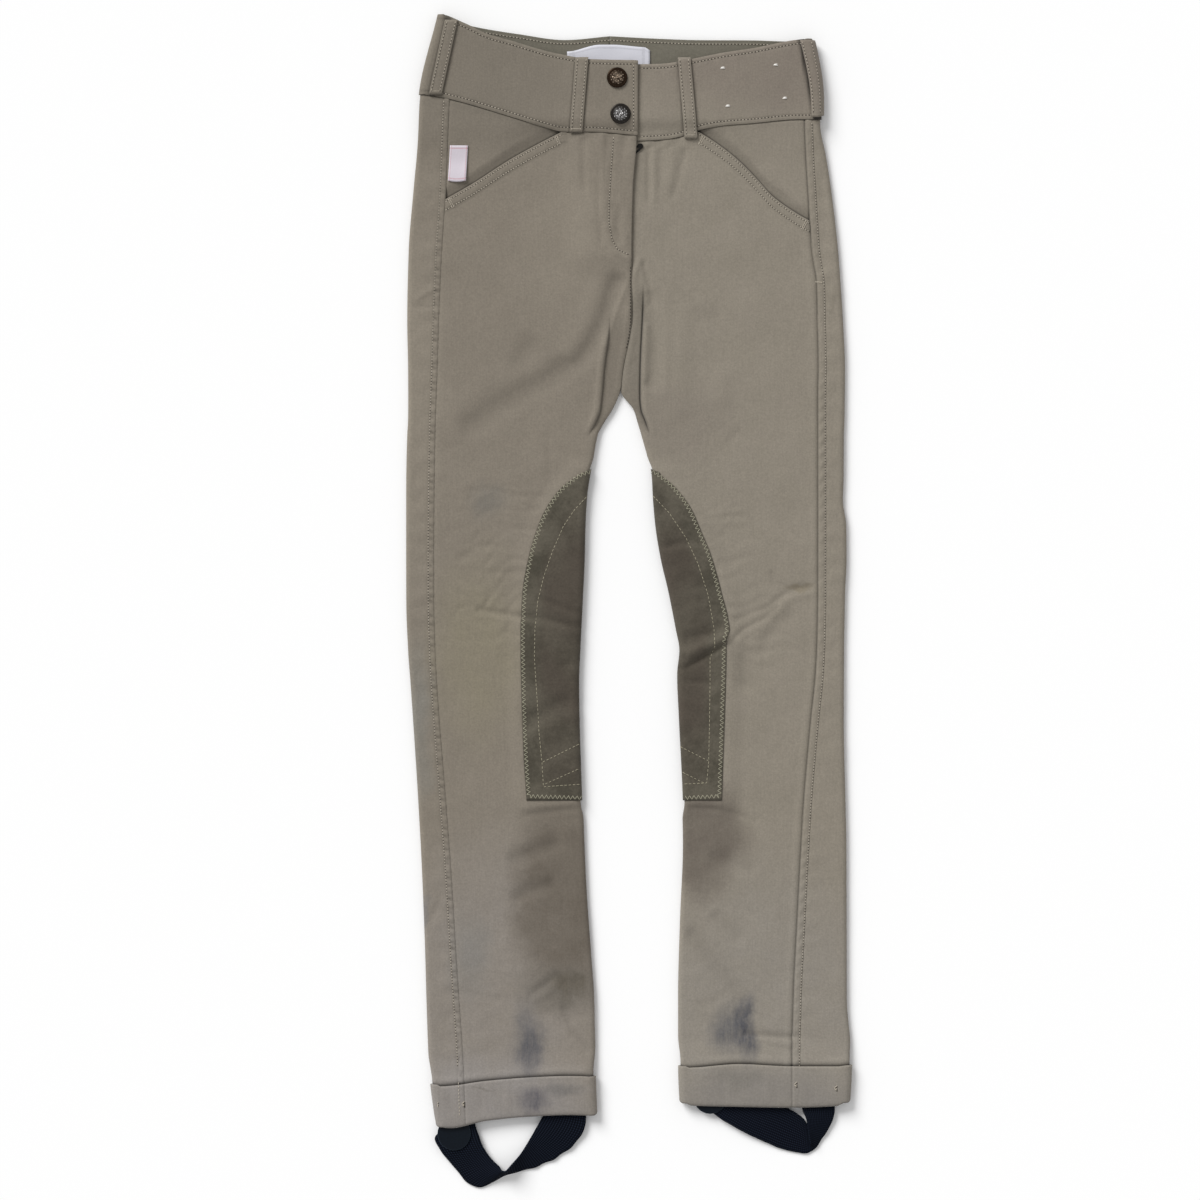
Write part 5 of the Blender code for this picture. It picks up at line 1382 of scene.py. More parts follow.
def back_columns(side, rows, upper_limits, lower_limits, out=0.0, details=back_details):
    x, y = lay_grid(back_upper_stations(side), rows, upper_limits)
    columns = with_height(side, UPPER, x, y, out, details)
    for angle in OUTER_TURN:
        limits = upper_limits if angle >= 0 else lower_limits
        edge_y = rows_on(partial(outer_edge, side), rows, limits)
        x, y, z = round_fold(side, "outer", angle, edge_y, out)
        if angle > 0 and details is back_details:
            z = z + details(side, outer_bend(side, edge_y), edge_y) * math.sin(math.radians(angle))
        columns.append((x, y, z))
    x, y = lay_grid(back_lower_stations(side), rows, lower_limits)
    columns += with_height(side, LOWER, x, y, out)
    edge_y = rows_on(partial(inner_edge, side, LOWER), rows, lower_limits)
    return columns + inner_end(side, LOWER, edge_y, out)


def add_back(side, name):
    upper, lower = (partial(leg_limits, side, partial(back_top, side, layer)) for layer in (UPPER, LOWER))
    add_cloth("back_panel_" + name, grid_of(back_columns(side, BACK_ROWS, upper, lower)), CLOTH,
              FINISH[name], "back_" + name, shade_and_wear=partial(back_painted_shade, side))


def add_cuffs(side, name):
    limits = partial(cuff_limits, side)
    x, y = lay_grid(front_stations(side), CUFF_ROWS, limits)
    columns = with_height(side, UPPER, x, y, OVER, cuff_details)
    columns += inner_end(side, UPPER, rows_on(partial(inner_edge, side, UPPER), CUFF_ROWS, limits), OVER)
    behind = back_columns(side, CUFF_ROWS, limits, limits, OVER, cuff_details)
    for place, hem in (("front_", columns), ("back_", behind)):
        add_cloth("hem_" + place + name, grid_of(round_corners(side, hem)), CLOTH, FINISH[name],
                  "cuff_" + place + name)


def add_knee_patch(side, name):
    """Suede on the inner knee, wrapped round the inner leg and under it."""
    rows = steps(6, 106)
    tip = float(inner_edge(side, UPPER, PATCH_TIP))

    def limits(x):
        top = PATCH_TIP - 0.55 * np.clip((x - tip) * side, 0.0, 14.0)
        return top, top - 6.0, np.full(np.shape(x), PATCH_BOTTOM)

    edge, inner = partial(patch_edge, side), partial(inner_bend, side, UPPER)
    close = [lambda y, t=t: mix(edge(y), inner(y), t) for t in (0.0, 0.015, 0.035, 0.06)]
    x, y = lay_grid([*close, *between(close[-1], inner, 18, ends=True)[1:]], rows, limits)
    columns = with_height(side, UPPER, x, y, PATCH_OUT, patch_details)
    for angle in (90, 75, 60, 45, 30, 15, 5, -5, -15, -30, -45, -60, -75, -90):
        inward = side * FOLD_RADIUS * (1 - math.cos(math.radians(angle)))
        fold_y = rows_on(lambda y: inner_edge(side, UPPER, y) + inward, rows, limits)
        columns.append(round_fold(side, "inner", angle, fold_y, PATCH_OUT))
    x, y = lay_grid(back_lower_stations(side, patch=True), rows, limits)
    columns += with_height(side, LOWER, x, y, PATCH_OUT)
    add_cloth("knee_suede_" + name, grid_of(columns), SUEDE_SHOWN, FINISH["suede"],
              "knee_patch_" + name, shade_and_wear=partial(suede_grime, side))


def add_pocket_facing(side, name):
    """The hip side of the pocket, which dips under the front's edge."""
    mouth, rows = POCKET_MOUTH[side], steps(6, 13, 24)

    def limits(x):
        edge, high = mouth.at("y", x), WAIST_FRONT[side].at("low", x) - SEAM
        room, low = high - edge + 8.0, edge - 8.0
        return low, low + np.minimum(9.5, 0.5 * room), low + np.minimum(21.5, 0.8 * room), high

    def seam(y):
        return seam_line(side, y) - side * SEAM / 2

    def first(y):
        return np.full(np.shape(y), mouth_end(side) + side * 1.0)

    close = beside(seam, -side, 0.0, 0.7, 1.4, 2.4)
    stations = [*close, *between(close[-1], first, 32), first]
    x, y = lay_grid(stations, rows, limits)
    dip = (CLOTH + 0.45) * (1 - smooth((y - mouth.at("y", x) - 1.5) / 10.0))
    z = height_at(side, UPPER, x, y) + facing_details(side, x, y) - dip
    add_cloth("hip_facing_" + name, sheet_of(x, y, z)[::-1], CLOTH, FINISH[name],
              "pocket_facing_" + name, shade_and_wear=partial(facing_painted_shade, side))


def band_details(side, layer, x, y, low, top):
    """The band's pressed edges, its stitched lines and the ripple between them."""
    z = edge_roll(y - low, 0.5, 1.1) + edge_roll(top - y, 0.6, 1.2)
    for line in (BAND_STITCH, top - low - BAND_STITCH):
        z -= 0.38 * bell(y - low - line, 0.85)
    z += 0.16 * np.sin(x / 2.1 + 1.5 * np.sin(x / 23)) * bell(y - low - BAND_STITCH, 3.0)
    z += 0.16 * np.sin(x / 1.9 + 1.9 * np.sin(x / 19)) * bell(top - y - BAND_STITCH, 3.0)
    z += 0.35 * np.sin(x / 13.0 + side) * np.sin((y - low) / 17.0) * smooth((top - y) / 9)
    z += 0.16 * np.sin((x + 0.6 * y) / 4.7 + 1.3 * np.sin(y / 21.0)) * bell(x - 30.0, 12.0)
    if side == RIGHT:
        z -= 0.3 * bell(BAND_END_X - BAND_STITCH - x, 0.85)
    return z if layer == UPPER else -0.3 * z


def band_columns(side, layer, x_low, x_top, parts):
    table = (WAIST_FRONT if layer == UPPER else WAIST_BACK)[side]
    low, top = table.at("low", x_low), table.at("top", x_top)
    x, y = mix(x_low, x_top, parts), mix(low, top, parts)
    z = height_at(side, layer, x, y, BAND_OUT) + band_details(side, layer, x, y, low, top)
    return x, y, z


def add_waistband(side, name):
    """Half of the waistband: from the fly, round the outer fold, to the centre back."""
    edge_parts = np.array((0.0, 0.009, 0.018, 0.03, 0.04, 0.047, 0.053, 0.06, 0.072, 0.09))
    parts = np.concatenate((edge_parts, np.linspace(0.12, 0.88, 20), 1 - edge_parts[::-1]))
    corner_low, corner_top = (-171.4, -155.8) if side == RIGHT else (156.6, 149.6)
    fold = -side * (FOLD_RADIUS + 1.0)
    start = BAND_END_X if side == RIGHT else BAND_UNDERLAP_X
    columns = []
    for t in np.concatenate(([0.0, 0.004, 0.009, 0.015, 0.02, 0.025], np.linspace(0.034, 1.0, 76))):
        x_low, x_top = mix(start, corner_low + fold, t), mix(start, corner_top + fold, t)
        x, y, z = band_columns(side, UPPER, x_low, x_top, parts)
        columns.append((x, y, z + edge_roll(np.abs(x - start), 0.5, 1.0)))
    low = WAIST_FRONT[side].at("low", corner_low)
    top = WAIST_FRONT[side].at("top", corner_top)
    for angle in OUTER_TURN:
        columns.append(round_fold(side, "outer", angle, mix(low, top, parts), BAND_OUT))
    seam = BAND_CENTRE_X + side * 0.06
    for t in np.linspace(0.03, 1.0, 56):
        columns.append(band_columns(side, LOWER, mix(corner_low, seam, t), mix(corner_top, seam, t), parts))
    band = add_cloth("band_" + name, grid_of(columns), BAND, FINISH[name], "waistband_" + name,
                     shade_and_wear=partial(band_painted_shade, side))
    paint_inside_shade(band, SHADED_INSIDE_Z)


# ---------------------------------------------------------------- belt loops, straps and labels

def add_loop_cloth(name, side, grid):
    add_cloth("loop_" + name, grid, LOOP_CLOTH, FINISH[SIDE_NAMES[side]],
              "belt_loop_" + name)


def add_loop(name, side, layer, top, bottom):
    """A belt loop down the band: turned ends, folded long edges and two stitched lines."""
    t = np.linspace(0.0, 1.0, 34)[:, None]
    across = np.array((-1.0, -0.93, -0.82, -0.6, -0.3, 0.0, 0.3, 0.6, 0.82, 0.93, 1.0))[None, :]
    x = mix(top[0], bottom[0], t) + across * LOOP_WIDTH / 2
    y = mix(top[1], bottom[1], t)
    out = LOOP_OUT + (LOOP_ARCH * np.sin(math.pi * t) if layer == UPPER else 0.0)
    edge = (1 - np.abs(across)) * LOOP_WIDTH / 2
    press = edge_roll(edge, 0.35, 0.6) - 0.3 * bell(edge - 1.7, 0.6)
    press = press + edge_roll(np.minimum(t, 1 - t) * LOOP_LENGTH, 0.5, 1.2) + 0.05 * np.sin(y / 1.3)
    z = height_at(side, layer, x, y, out) + (press if layer == UPPER else 0.0)
    add_loop_cloth(name, side, sheet_of(x, y, z))


def add_folded_loop(name, side, top, bottom):
    """A loop that lies over the folded side of the band."""
    t = np.linspace(0.0, 1.0, 34)
    y = mix(top[1], bottom[1], t)
    out = LOOP_OUT + 0.3 + LOOP_ARCH * np.sin(math.pi * t)
    edge, bend = outer_edge(side, y), outer_bend(side, y)
    flat = bend - side * mix(5.4, 3.0, t)
    columns = [(x, y, height_at(side, UPPER, x, y, out)) for x in (flat, mix(flat, bend, 0.5))]
    for angle in np.linspace(90.0, -20.0, 10):
        layer, turn = UPPER if angle >= 0 else LOWER, math.radians(abs(angle))
        x = edge - side * (FOLD_RADIUS - (FOLD_RADIUS + out + FOLD_SLACK * math.cos(turn)) * math.cos(turn))
        foot = y + 2.6 * math.cos(turn) ** 4 * np.clip(1 - (y - bottom[1]) / 8.0, 0.0, 1.0) ** 2
        columns.append((x, foot, height_at(side, layer, bend, y, out, math.sin(turn))))
    add_loop_cloth(name, side, grid_of(columns))


def smooth_path(points, count):
    """A smooth curve through rows of points, at equal steps of its own measure."""
    points = np.array(points, dtype=float)
    step = np.linalg.norm(np.diff(points[:, :2], axis=0), axis=1) + 1e-6
    key = np.concatenate(([0.0], np.cumsum(step)))
    names = ["c%d" % i for i in range(points.shape[1])]
    table = Table(" ".join(["s", *names]), *np.column_stack((key, points)).tolist())
    s = np.linspace(0.0, key[-1], count)
    return np.stack([table.at(name, s) for name in names], axis=1)


def add_strap(side, name):
    """An elastic stirrup strap, twisted on edge where it turns."""
    rows = smooth_path(STRAPS[side], 120)
    t = np.linspace(0.0, 1.0, 17)[None, :, None]
    outer, inner = rows[:, None, :3], rows[:, None, 3:]
    grid = outer + (inner - outer) * t
    run = np.linspace(0.0, 1.0, len(rows))[:, None]
    frill = np.sin(math.tau * (9 * run + 0.5 * np.sin(8 * run)))
    frill = frill + 0.5 * np.sin(math.tau * 14.3 * run + 1.0)
    ruffled = 0.33 if side == RIGHT else 0.05
    frill = frill * (0.12 + ruffled * smooth((run - 0.5) / 0.2)) * (1 - t[:, :, 0]) ** 3
    frill = frill * smooth(run / 0.08) * smooth((1 - run) / 0.08)
    away = (outer - inner)[:, :, :2] / np.maximum(np.linalg.norm(outer - inner, axis=2, keepdims=True), 8.0)
    grid[:, :, :2] += frill[:, :, None] * away
    grid[:, :, 2] += 0.35 * (frill + np.abs(frill))
    add_cloth("stirrup_elastic_" + name, grid, WEBBING, FINISH["elastic"],
              "stirrup_strap_" + name, uv=True)


def add_labels():
    """The label inside the back waistband, and the folded one in the right side seam."""
    out = -(BAND / 2 - BAND_OUT + LAY + 0.3)
    u, v = np.linspace(0.0, 1.0, 36)[None, :], np.linspace(1.0, 0.0, 20)[:, None]
    x = mix(-50.8, 17.2, u)
    head = 451.0 + 5.6 * smooth(u / 0.4) - 2.0 * smooth((u - 0.55) / 0.4) - 2.6 * bell(1 - u, 0.035)
    y = mix(424.0, head, v)
    z = height_at(RIGHT, LOWER, x, y, out)
    z = z + 0.25 * np.sin(x / 6.0 + 1.0) * np.sin(y / 5.0) * smooth(np.minimum(u, 1 - u) / 0.1)
    add_cloth("label_waist", sheet_of(x, y, z), LABEL_CLOTH, FINISH["waist_label"],
              "waist_label", uv=True)
    u, v = np.linspace(0.0, 1.0, 14)[None, :], np.linspace(1.0, 0.0, 24)[:, None]
    y = mix(344.8 - 0.9 * np.sin(math.pi * u), 373.6, v)
    x = mix(-147.6, -132.8, u) + (y - 358.7) * 0.06
    z = height_at(RIGHT, UPPER, x, y, CLOTH / 2 + LAY + 0.5)
    z = z + 0.35 * bell(u - 1.0, 0.25) * np.sin(v * 5.0) + 0.15 * np.sin(v * 9.0)
    add_cloth("label_side", sheet_of(x, y, z), LABEL_CLOTH, FINISH["side_label"],
              "side_label", uv=True)


# ---------------------------------------------------------------- studs and zip

def join_meshes(name, parts):
    """One mesh of several, each given as (mesh, matrix)."""
    form = bmesh.new()
    for mesh, matrix in parts:
        count = len(form.verts)
        form.from_mesh(mesh)
        form.verts.ensure_lookup_table()
        for vertex in form.verts[count:]:
            vertex.co = matrix @ vertex.co
    bmesh.ops.recalc_face_normals(form, faces=form.faces)
    joined = mesh_from(form, name)
    joined.shade_smooth()
    return joined


def turned(profile, place, seat, segments=48):
    """A mesh turned about +Z from a profile of (radius, height), closed on its axis."""
    form = bmesh.new()
    rings = []
    for radius, height in profile:
        count = segments if radius > 0 else 1
        turns = [math.tau * i / count for i in range(count)]
        rings.append([form.verts.new((
            (place[0] + radius * math.cos(a)) * MM, (place[1] + radius * math.sin(a)) * MM,
            (seat + height) * MM)) for a in turns])
    for low, high in zip(rings, rings[1:]):
        for i in range(segments):
            j = i + 1
            corners = (low[i % len(low)], low[j % len(low)], high[j % len(high)], high[i % len(high)])
            form.faces.new(list(dict.fromkeys(corners)))
    bmesh.ops.recalc_face_normals(form, faces=form.faces)
    return mesh_from(form, "turned")


def add_stud(name, place, finish):
    """A press-stud cap: a low roped rim round a broad boss with a plain rosette of three rings."""
    x, y = place
    seat = float(height_at(RIGHT, UPPER, x, y, BAND_OUT)) + BAND / 2 + SEAM
    r = STUD_RADIUS
    profile = ((0.0, 1.55), (0.35 * r, 1.5), (0.58 * r, 1.36), (0.72 * r, 1.14), (0.78 * r, 0.98),
               (0.84 * r, 1.06), (0.92 * r, 1.04), (0.98 * r, 0.8), (r, 0.5),
               (0.97 * r, 0.12), (0.90 * r, 0.0), (0.0, 0.0))
    parts = [(turned(profile, place, seat), Matrix.Identity(4))]
    form = bmesh.new()
    bmesh.ops.create_icosphere(form, subdivisions=2, radius=1.0)
    bead = mesh_from(form, "bead")

    def place_bead(angle, radius, height, size, swirl=0.0):
        a = math.radians(angle)
        at = Vector((x + radius * math.cos(a), y + radius * math.sin(a), seat + height)) * MM
        matrix = Matrix.Translation(at) @ Matrix.Rotation(a + swirl, 4, "Z")
        parts.append((bead, matrix @ Matrix.Diagonal((*[part * MM for part in size], 1.0))))

    for count, radius, height, size, swirl in (
            (32, 0.88, 1.04, (0.5, 0.3, 0.2), 0.5), (6, 0.20, 1.5, (0.95, 0.42, 0.42), 0.4),
            (9, 0.41, 1.42, (1.05, 0.36, 0.42), 0.9), (14, 0.62, 1.28, (0.8, 0.3, 0.36), 0.6)):
        for i in range(count):
            place_bead(i * 360 / count + 40 * radius, radius * r, height, size, swirl)
    place_bead(0, 0.0, 1.62, (0.6, 0.6, 0.42))
    mesh = join_meshes(name, parts)
    points = np.empty(3 * len(mesh.vertices))
    mesh.vertices.foreach_get("co", points)
    paint(mesh, "raised", smooth((points[2::3] / MM - seat - RING_HEIGHT) / (BOSS_HEIGHT - RING_HEIGHT)))
    add_piece(name.replace("stud_cap", "press_stud"), mesh, FINISH[finish], [name])


def zip_middle(y):
    """X of the zip, which follows the inner edge of the fly."""
    return ZIP_X + (SECTIONS[RIGHT].at("inner", y) - SECTIONS[RIGHT].at("inner", ZIP_Y))


def add_zip():
    """The zip's tape with its two rows of teeth, behind the fly."""
    base = CLOTH / 2 + LAYER_GAP
    y = mix(376.0, 290.0, np.linspace(0.0, 1.0, 40)[:, None])
    x = zip_middle(y) + np.linspace(-11.0, 11.0, 12)[None, :]
    add_cloth("zip_cloth", sheet_of(x, y, base - 1.4), TAPE_CLOTH, FINISH["tape"],
              "zip_tape")
    form = bmesh.new()
    for i in range(TEETH):
        y = TEETH_TOP - i * TOOTH_PITCH
        x = float(zip_middle(y)) + (0.6 if i % 2 else -0.6)
        tooth = bmesh.ops.create_cube(form, size=MM)["verts"]
        bmesh.ops.scale(form, vec=(3.0, 0.5, 0.9), verts=tooth)
        bmesh.ops.translate(form, vec=Vector((x, y, base - 0.55)) * MM, verts=tooth)
    add_piece("zip_teeth", mesh_from(form, "zip_teeth"), FINISH["brass"], [])


# ---------------------------------------------------------------- stitching

def top_of_leg(side, x, y):
    details = np.where(past_seam(side, x, y) < 0, front_details(side, x, y), back_details(side, x, y))
    return height_at(side, UPPER, x, y) + details + CLOTH / 2


def top_of_patch(side, x, y):
    """The suede's face, which rounds off at the inner fold."""
    out = PATCH_OUT + SUEDE_SHOWN / 2
    bend = inner_edge(side, UPPER, y) + side * FOLD_RADIUS
    beyond = (bend - x) * side
    turn = np.clip(beyond / (FOLD_RADIUS + FOLD_SLACK + out), 0.0, 0.96)
    face = height_at(side, UPPER, np.where(beyond > 0, bend, x), y, out, np.sqrt(1 - turn * turn))
    return face + np.where(beyond > 0, 0.0, patch_details(side, x, y))


def top_of_band(side, x, y):
    waist = WAIST_FRONT[side]
    details = band_details(side, UPPER, x, y, waist.at("low", x), waist.at("top", x))
    return height_at(side, UPPER, x, y, BAND_OUT) + details + BAND / 2


def top_of_hem(side, x, y):
    return height_at(side, UPPER, x, y, OVER) + cuff_details(side, x, y) + CLOTH / 2


def top_of_back_band(side, x, y):
    return height_at(side, LOWER, x, y, BAND_OUT) + BAND / 2


def top_of_loop(top, bottom, side, x, y):
    arch = LOOP_ARCH * np.sin(math.pi * loop_part(y, top, bottom))
    return height_at(side, UPPER, x, y, LOOP_OUT + arch) + LOOP_CLOTH / 2 - 0.2


def top_of_folded_loop(top, bottom, side, x, y):
    out = LOOP_OUT + 0.3 + LOOP_ARCH * np.sin(math.pi * loop_part(y, top, bottom))
    fold = outer_bend(side, y)
    turn = np.clip((x - fold) * side, 0.0, None) / (FOLD_RADIUS + out)
    flat_x = np.where(turn > 0, fold, x)
    return height_at(side, UPPER, flat_x, y, out, np.sqrt(1 - turn ** 2)) + LOOP_CLOTH / 2


def resample(points, spacing):
    points = np.array(points, dtype=float)
    run = np.concatenate(([0.0], np.cumsum(np.linalg.norm(np.diff(points, axis=0), axis=1))))
    s = np.arange(0.0, run[-1], spacing)
    return np.stack([np.interp(s, run, points[:, i]) for i in range(points.shape[1])], axis=1)


def laid(picks, surface, side, lift):
    """Points of a path, laid on a surface and lifted off it."""
    return np.column_stack((picks, surface(side, picks[:, 0], picks[:, 1]) + lift))


def running(path, surface, side, length, gap, pricks=None):
    """A line of stitches along a path of (x, y), each sunk into the cloth at its ends.

    The needle holes between them, short dark threads that paint the shade in each hole, are added to the
    list of pricks."""
    line = resample(path, STITCH_GRAIN)
    pitch, long = int(round((length + gap) / STITCH_GRAIN)), int(round(length / STITCH_GRAIN))
    stitches = [laid(line[[start, start + long // 4, start + 3 * long // 4, start + long]],
                     surface, side, STITCH_LIFT) for start in range(0, len(line) - long, pitch)]
    if pricks is not None:
        for start in range(long, len(line) - pitch + long, pitch):
            end = start + pitch - long
            picks = line[[start, start + 1, max(end - 1, start + 2), min(end, len(line) - 1)]]
            pricks.append(laid(picks, surface, side, PRICK_LIFT))
    return stitches


def zigzag(path, surface, side, width=3.2, pitch=1.8):
    """A zigzag row: each leg is one stitch across the edge of a patch."""
    line = resample(path, pitch)
    heading = np.gradient(line, axis=0)
    heading /= np.linalg.norm(heading, axis=1)[:, None] + 1e-9
    across = np.column_stack((-heading[:, 1], heading[:, 0]))
    signs = np.where(np.arange(len(line)) % 2, 1.0, -1.0)[:, None]
    points = line + across * signs * width / 2
    return [laid(np.array([a, mix(a, b, 0.25), mix(a, b, 0.75), b]), surface, side, ZIGZAG_LIFT)
            for a, b in zip(points, points[1:])]


def stitch_tree():
    """Turns each short line into a thread: round, thinner at its ends, closed, and one finish."""
    tree = bpy.data.node_groups.new("threads", "GeometryNodeTree")
    face = tree.interface
    face.new_socket("Geometry", in_out="INPUT", socket_type="NodeSocketGeometry")
    face.new_socket("Thread Radius", in_out="INPUT", socket_type="NodeSocketFloat")
    face.new_socket("Finish", in_out="INPUT", socket_type="NodeSocketMaterial")
    face.new_socket("Geometry", in_out="OUTPUT", socket_type="NodeSocketGeometry")
    node = partial(add_node, tree)
    given = node("NodeGroupInput")
    lines = node("GeometryNodeMeshToCurve", {"Mesh": given})
    along = node("GeometryNodeSplineParameter")
    centred = node("Math", {0: along, 1: 0.5}, operation="SUBTRACT")
    away = node("Math", {0: centred}, operation="ABSOLUTE")
    taper = node("MapRange", {
        "Value": away, "From Min": 0.2, "From Max": 0.5, "To Min": 1.0, "To Max": 0.55})
    round_form = node("GeometryNodeCurvePrimitiveCircle", {
        "Resolution": 5, "Radius": given.outputs["Thread Radius"]})
    tube = node("GeometryNodeCurveToMesh", {
        "Curve": lines, "Profile Curve": round_form, "Scale": taper, "Fill Caps": True})
    real = node("GeometryNodeRealizeInstances", {"Geometry": tube})
    coated = node("GeometryNodeSetMaterial", {"Geometry": real, "Material": given.outputs["Finish"]})
    node("NodeGroupOutput", {"Geometry": coated})
    return tree


THREADS = stitch_tree()


def sew(name, stitches, radius, finish):
    """Threads for a set of stitches, made by the tree and kept as one plain mesh."""
    each = len(stitches[0])
    starts = np.arange(len(stitches)) * each
    edges = np.concatenate([np.stack((starts + i, starts + i + 1), axis=1) for i in range(each - 1)])
    lines = bpy.data.meshes.new(name + "_lines")
    lines.from_pydata((np.concatenate(stitches) * MM).tolist(), edges.tolist(), [])
    holder = add_object(name + "_lines", lines)
    maker = holder.modifiers.new("threads", "NODES")
    maker.node_group = THREADS
    given = {"Thread Radius": radius * MM, "Finish": finish}
    for item in THREADS.interface.items_tree:
        if item.in_out == "INPUT" and item.name in given:
            maker[item.identifier] = given[item.name]
    graph = bpy.context.evaluated_depsgraph_get()
    mesh = bpy.data.meshes.new_from_object(holder.evaluated_get(graph), depsgraph=graph)
    bpy.data.objects.remove(holder, do_unlink=True)
    mesh.name = name
    mesh.shade_smooth()
    add_piece(name, mesh, finish, [])


def sew_both(name, stitches, radius, pricks, prick_radius, slot):
    """A set of stitches with the needle holes between them, drawn in dark thread as painted shade."""
    sew(name + "_needle_holes" + slot[0], pricks, prick_radius, FINISH["dark_thread"])
    sew(name + "_stitching" + slot[0], stitches, radius, FINISH["thread"])


def vertical(function, top, bottom, step=4.0):
    ys = np.arange(top, bottom, -step)
    return [(float(function(y)), float(y)) for y in ys]


def horizontal(function, start, end, step=3.0):
    xs = np.linspace(start, end, max(int(abs(end - start) / step), 2))
    return [(float(x), float(function(x))) for x in xs]


def sew_leg(side, name):
    """The side seam and the pocket mouth of a leg, the fly, and the bars that hold them."""
    mouth, leg, pricks = POCKET_MOUTH[side], [], []

    def seam_row(top, bottom):
        return vertical(lambda y: seam_line(side, y) + side * SIDE_STITCH[side], top, bottom)

    leg += running(seam_row(410.0 if side == RIGHT else 392.0, -386.0), top_of_leg, side, 1.4, 1.0, pricks)
    first, last = mouth.keys[0] + 1.0, mouth.keys[-1] - 1.0
    for back in MOUTH_STITCH:
        path = horizontal(lambda x: mouth.at("y", x) - back, first, last)
        leg += running(path, top_of_leg, side, 1.6, 0.9, pricks)
    for x in (first + 3.0, first + 4.2, last - 3.0, last - 4.2):
        edge, slope = float(mouth.at("y", x)), float(mouth.at("y", x + 0.5) - mouth.at("y", x - 0.5))
        bar = [(x - slope * 1.4, edge - 1.4), (x + slope * MOUTH_STITCH[1] * 0.6, edge - MOUTH_STITCH[1])]
        leg += running(bar, top_of_leg, side, 1.2, 0.2)
    if side == RIGHT:
        leg += running(seam_row(-394.0, -424.0), top_of_hem, side, 1.6, 1.2)
        leg += running(FLY_STITCH, top_of_leg, side, 1.3, 1.1, pricks)
        centre = vertical(lambda y: float(inner_edge(RIGHT, UPPER, y)) - 0.9, 274.0, 205.0)
        pricks += running(centre, top_of_leg, side, 1.4, 1.2)
    else:
        for bar in (((152.5, 262.4), (158.3, 261.6)), ((158.3, 261.0), (152.5, 261.8))):
            leg += running(bar, top_of_leg, side, 0.8, 0.2)
    sew_both("leg", leg, 0.36, pricks, 0.42, ("_" + name, "front_" + name))


def sew_band(side, name):
    """The stitched lines of half the band, outside and along its inside."""
    waist, band, pricks = WAIST_FRONT[side], [], []
    start = 3.6 if side == RIGHT else 10.0
    corner_low, corner_top = (-163.0, -150.0) if side == RIGHT else (150.0, 142.0)
    lines = [horizontal(lambda x: waist.at("low", x) + BAND_STITCH, start, corner_low),
             horizontal(lambda x: waist.at("top", x) - BAND_STITCH, start, corner_top)]
    if side == RIGHT:
        lines.append([(3.7, 439.0), (3.7, 386.0)])
    for line in lines:
        band += running(line, top_of_band, side, 1.7, 1.0, pricks)
    inside = horizontal(lambda x: WAIST_BACK[side].at("top", x) - BAND_STITCH, -16.0, side * 122.0)
    band += running(inside, top_of_back_band, side, 1.5, 1.2, pricks)
    sew_both("band", band, 0.36, pricks, 0.5, ("_" + name, "waistband_" + name))


def sew_loops():
    """Two stitched lines down each loop that shows, and a bar across the foot of the front ones."""
    stitches, pricks = [], []
    for side, top, bottom in FRONT_LOOPS.values():
        surface = partial(top_of_loop, top, bottom)
        for shift in (-3.5, 3.5):
            line = [(top[0] + shift, top[1] - 1.5), (bottom[0] + shift, bottom[1] + 1.5)]
            stitches += running(line, surface, side, 1.7, 1.0, pricks)
        foot = [(bottom[0] - 4, bottom[1] + 2.6), (bottom[0] + 4, bottom[1] + 2.6)]
        stitches += running(foot, surface, side, 0.8, 0.15)
    for side, top, bottom in FOLDED_LOOPS.values():
        for shift_top, shift_bottom in ((-4.0, -1.6), (3.6, 4.0)):
            y = np.linspace(top[1] - 1.5, bottom[1] + 2.5, 24)
            shift = np.linspace(shift_top, shift_bottom, len(y))
            line = np.column_stack((outer_bend(side, y) + side * shift, y))
            stitches += running(line, partial(top_of_folded_loop, top, bottom), side, 1.7, 1.0, pricks)
    sew_both("loop", stitches, 0.32, pricks, 0.34, ("", "belt_loop_front_right"))


def sew_patch(side, name):
    fold = float(inner_edge(side, UPPER, PATCH_TIP))
    tip = ((fold - side * 1.4, PATCH_TIP - 2.2), (fold + side * 3.0, PATCH_TIP - 3.4))
    end = PATCH_BOTTOM + ZIGZAG_IN
    edge = vertical(lambda y: patch_edge(side, y) - side * ZIGZAG_IN, PATCH_TIP - 6.0, end, 2.0)
    foot = (float(inner_edge(side, UPPER, PATCH_BOTTOM)) - side * 1.6, end)
    sew("patch_zigzag_" + name, zigzag([*tip, *edge, foot], top_of_patch, side), 0.2,
        FINISH["edge_thread"])
    stitches = []
    for line in PATCH_STITCH[side]:
        stitches += running(line, top_of_patch, side, 2.6, 0.8)
    sew("patch_stitching_" + name, stitches, 0.26, FINISH["pale_thread"])


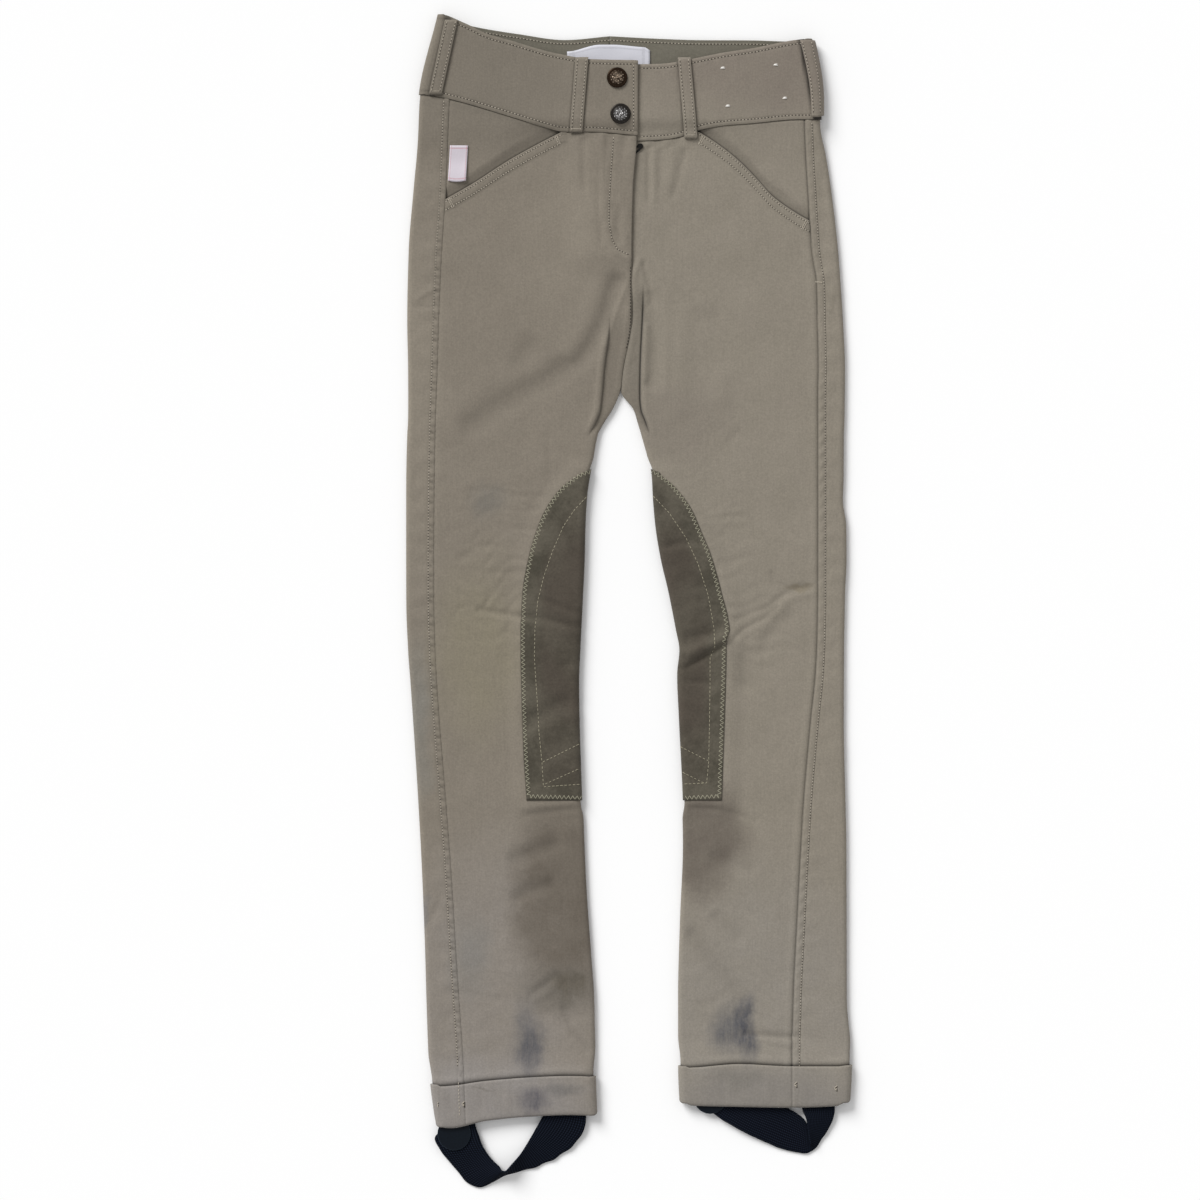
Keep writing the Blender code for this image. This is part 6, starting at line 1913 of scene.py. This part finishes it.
def sew_tacks():
    """Loose white tacks on the left of the band, and the ties that hold the hems, each with a dark copy
    beside and under it as a painted shadow.
    """
    tacks, ties, shades = [], [], []
    for x, y, slope in ((77.1, 436.6, 0.02), (120.5, 439.1, -0.08),
                        (81.2, 405.5, 0.03), (127.9, 412.0, 0.1)):
        for ends, length, lift in (
                (((x - 2.2, y - 2.2 * slope), (x + 2.2, y + 2.2 * slope)), 3.6, 0.15),
                (((x - 1.6, y + 0.7), (x + 1.4, y + 0.9)), 2.6, 0.1)):
            tacks += running(ends, lambda *at: top_of_band(*at) + lift, LEFT, length, 1.0)
    sew("band_tacks", tacks, 0.5, FINISH["white_thread"])
    for side, x, y in ((LEFT, 136.9, -395.6), (LEFT, 169.7, -398.5),
                       (RIGHT, -135.3, -411.6), (RIGHT, -156.6, -412)):
        for dx, dy, at in ((1.5, 1.3, 1.6), (1.5, -1.3, -1.6), (0.2, 2.2, 0.0)):
            tie = running([(x - dx, y - dy + at), (x + dx, y + dy + at)], top_of_hem, side, 2.8, 2.0)
            ties += tie
            # Each tie has a dark copy set beside and under it: a painted shadow.
            shades += [points + np.array((0.5, -0.6, -0.15)) for points in tie]
    sew("hem_tie_shades", shades, 0.5, FINISH["dark_thread"])
    sew("hem_ties", ties, 0.4, FINISH["thread"])


# ---------------------------------------------------------------- setting

def add_stage():
    """A plain pale floor, a soft light from the waist end and a pale sky."""
    form = bmesh.new()
    bmesh.ops.create_grid(form, x_segments=1, y_segments=1, size=6.0)
    mesh = mesh_from(form, "floor")
    floor = add_object("floor", mesh)
    floor.location.z = -0.0003
    paper = (0.97, 0.97, 0.97, 1.0)
    mesh.materials.append(new_finish("pale_paper", {
        "Roughness": 1.0, "Base Color": paper, "Specular IOR Level": 0.0})[0])
    lamp = bpy.data.lights.new("key_light", "SUN")
    lamp.angle, lamp.energy = math.radians(30), KEY_ENERGY
    light = add_object("key_light", lamp)
    light.location = KEY_PLACE
    light.rotation_euler = (-Vector(KEY_PLACE)).to_track_quat("-Z", "Y").to_euler()
    sky = bpy.data.worlds.new("sky")
    sky.use_nodes = True
    glow = sky.node_tree.nodes["Background"].inputs
    glow["Color"].default_value, glow["Strength"].default_value = (1.0, 1.0, 1.0, 1.0), SKY_STRENGTH
    bpy.context.scene.world = sky
    bpy.context.scene.view_settings.view_transform = "Standard"
    camera = bpy.data.cameras.new("camera")
    camera.lens, camera.sensor_width, camera.clip_end = LENS, SENSOR, 20.0
    eye = add_object("camera", camera)
    eye.location = (CAMERA_X * MM, CAMERA_Y * MM, FIELD * MM * LENS / SENSOR + 0.005)
    bpy.context.scene.camera = eye


def build():
    add_stage()
    for side, name in SIDE_NAMES.items():
        for add in (add_back, add_front, add_pocket_facing, add_waistband,
                    add_knee_patch, add_cuffs, add_strap):
            add(side, name)
    for loops, layer in ((FRONT_LOOPS, UPPER), (BACK_LOOPS, LOWER)):
        for name, (side, top, bottom) in loops.items():
            add_loop(name, side, layer, top, bottom)
    for name, place in FOLDED_LOOPS.items():
        add_folded_loop(name, *place)
    add_labels()
    add_stud("stud_cap_upper", (-9.8, 428.4), "brass")
    add_stud("stud_cap_lower", (-7.0, 398.9), "rubbed_brass")
    add_zip()
    for side, name in SIDE_NAMES.items():
        sew_leg(side, name)
        sew_band(side, name)
        sew_patch(side, name)
    sew_loops()
    sew_tacks()
    for node, finish in (("pull_tab", "enamel"), ("zip_slider", "brass"),
                         ("strap_disc_right", "rubber"), ("strap_disc_left", "rubber")):
        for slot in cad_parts[node].material_slots:
            slot.material = FINISH[finish]


build()
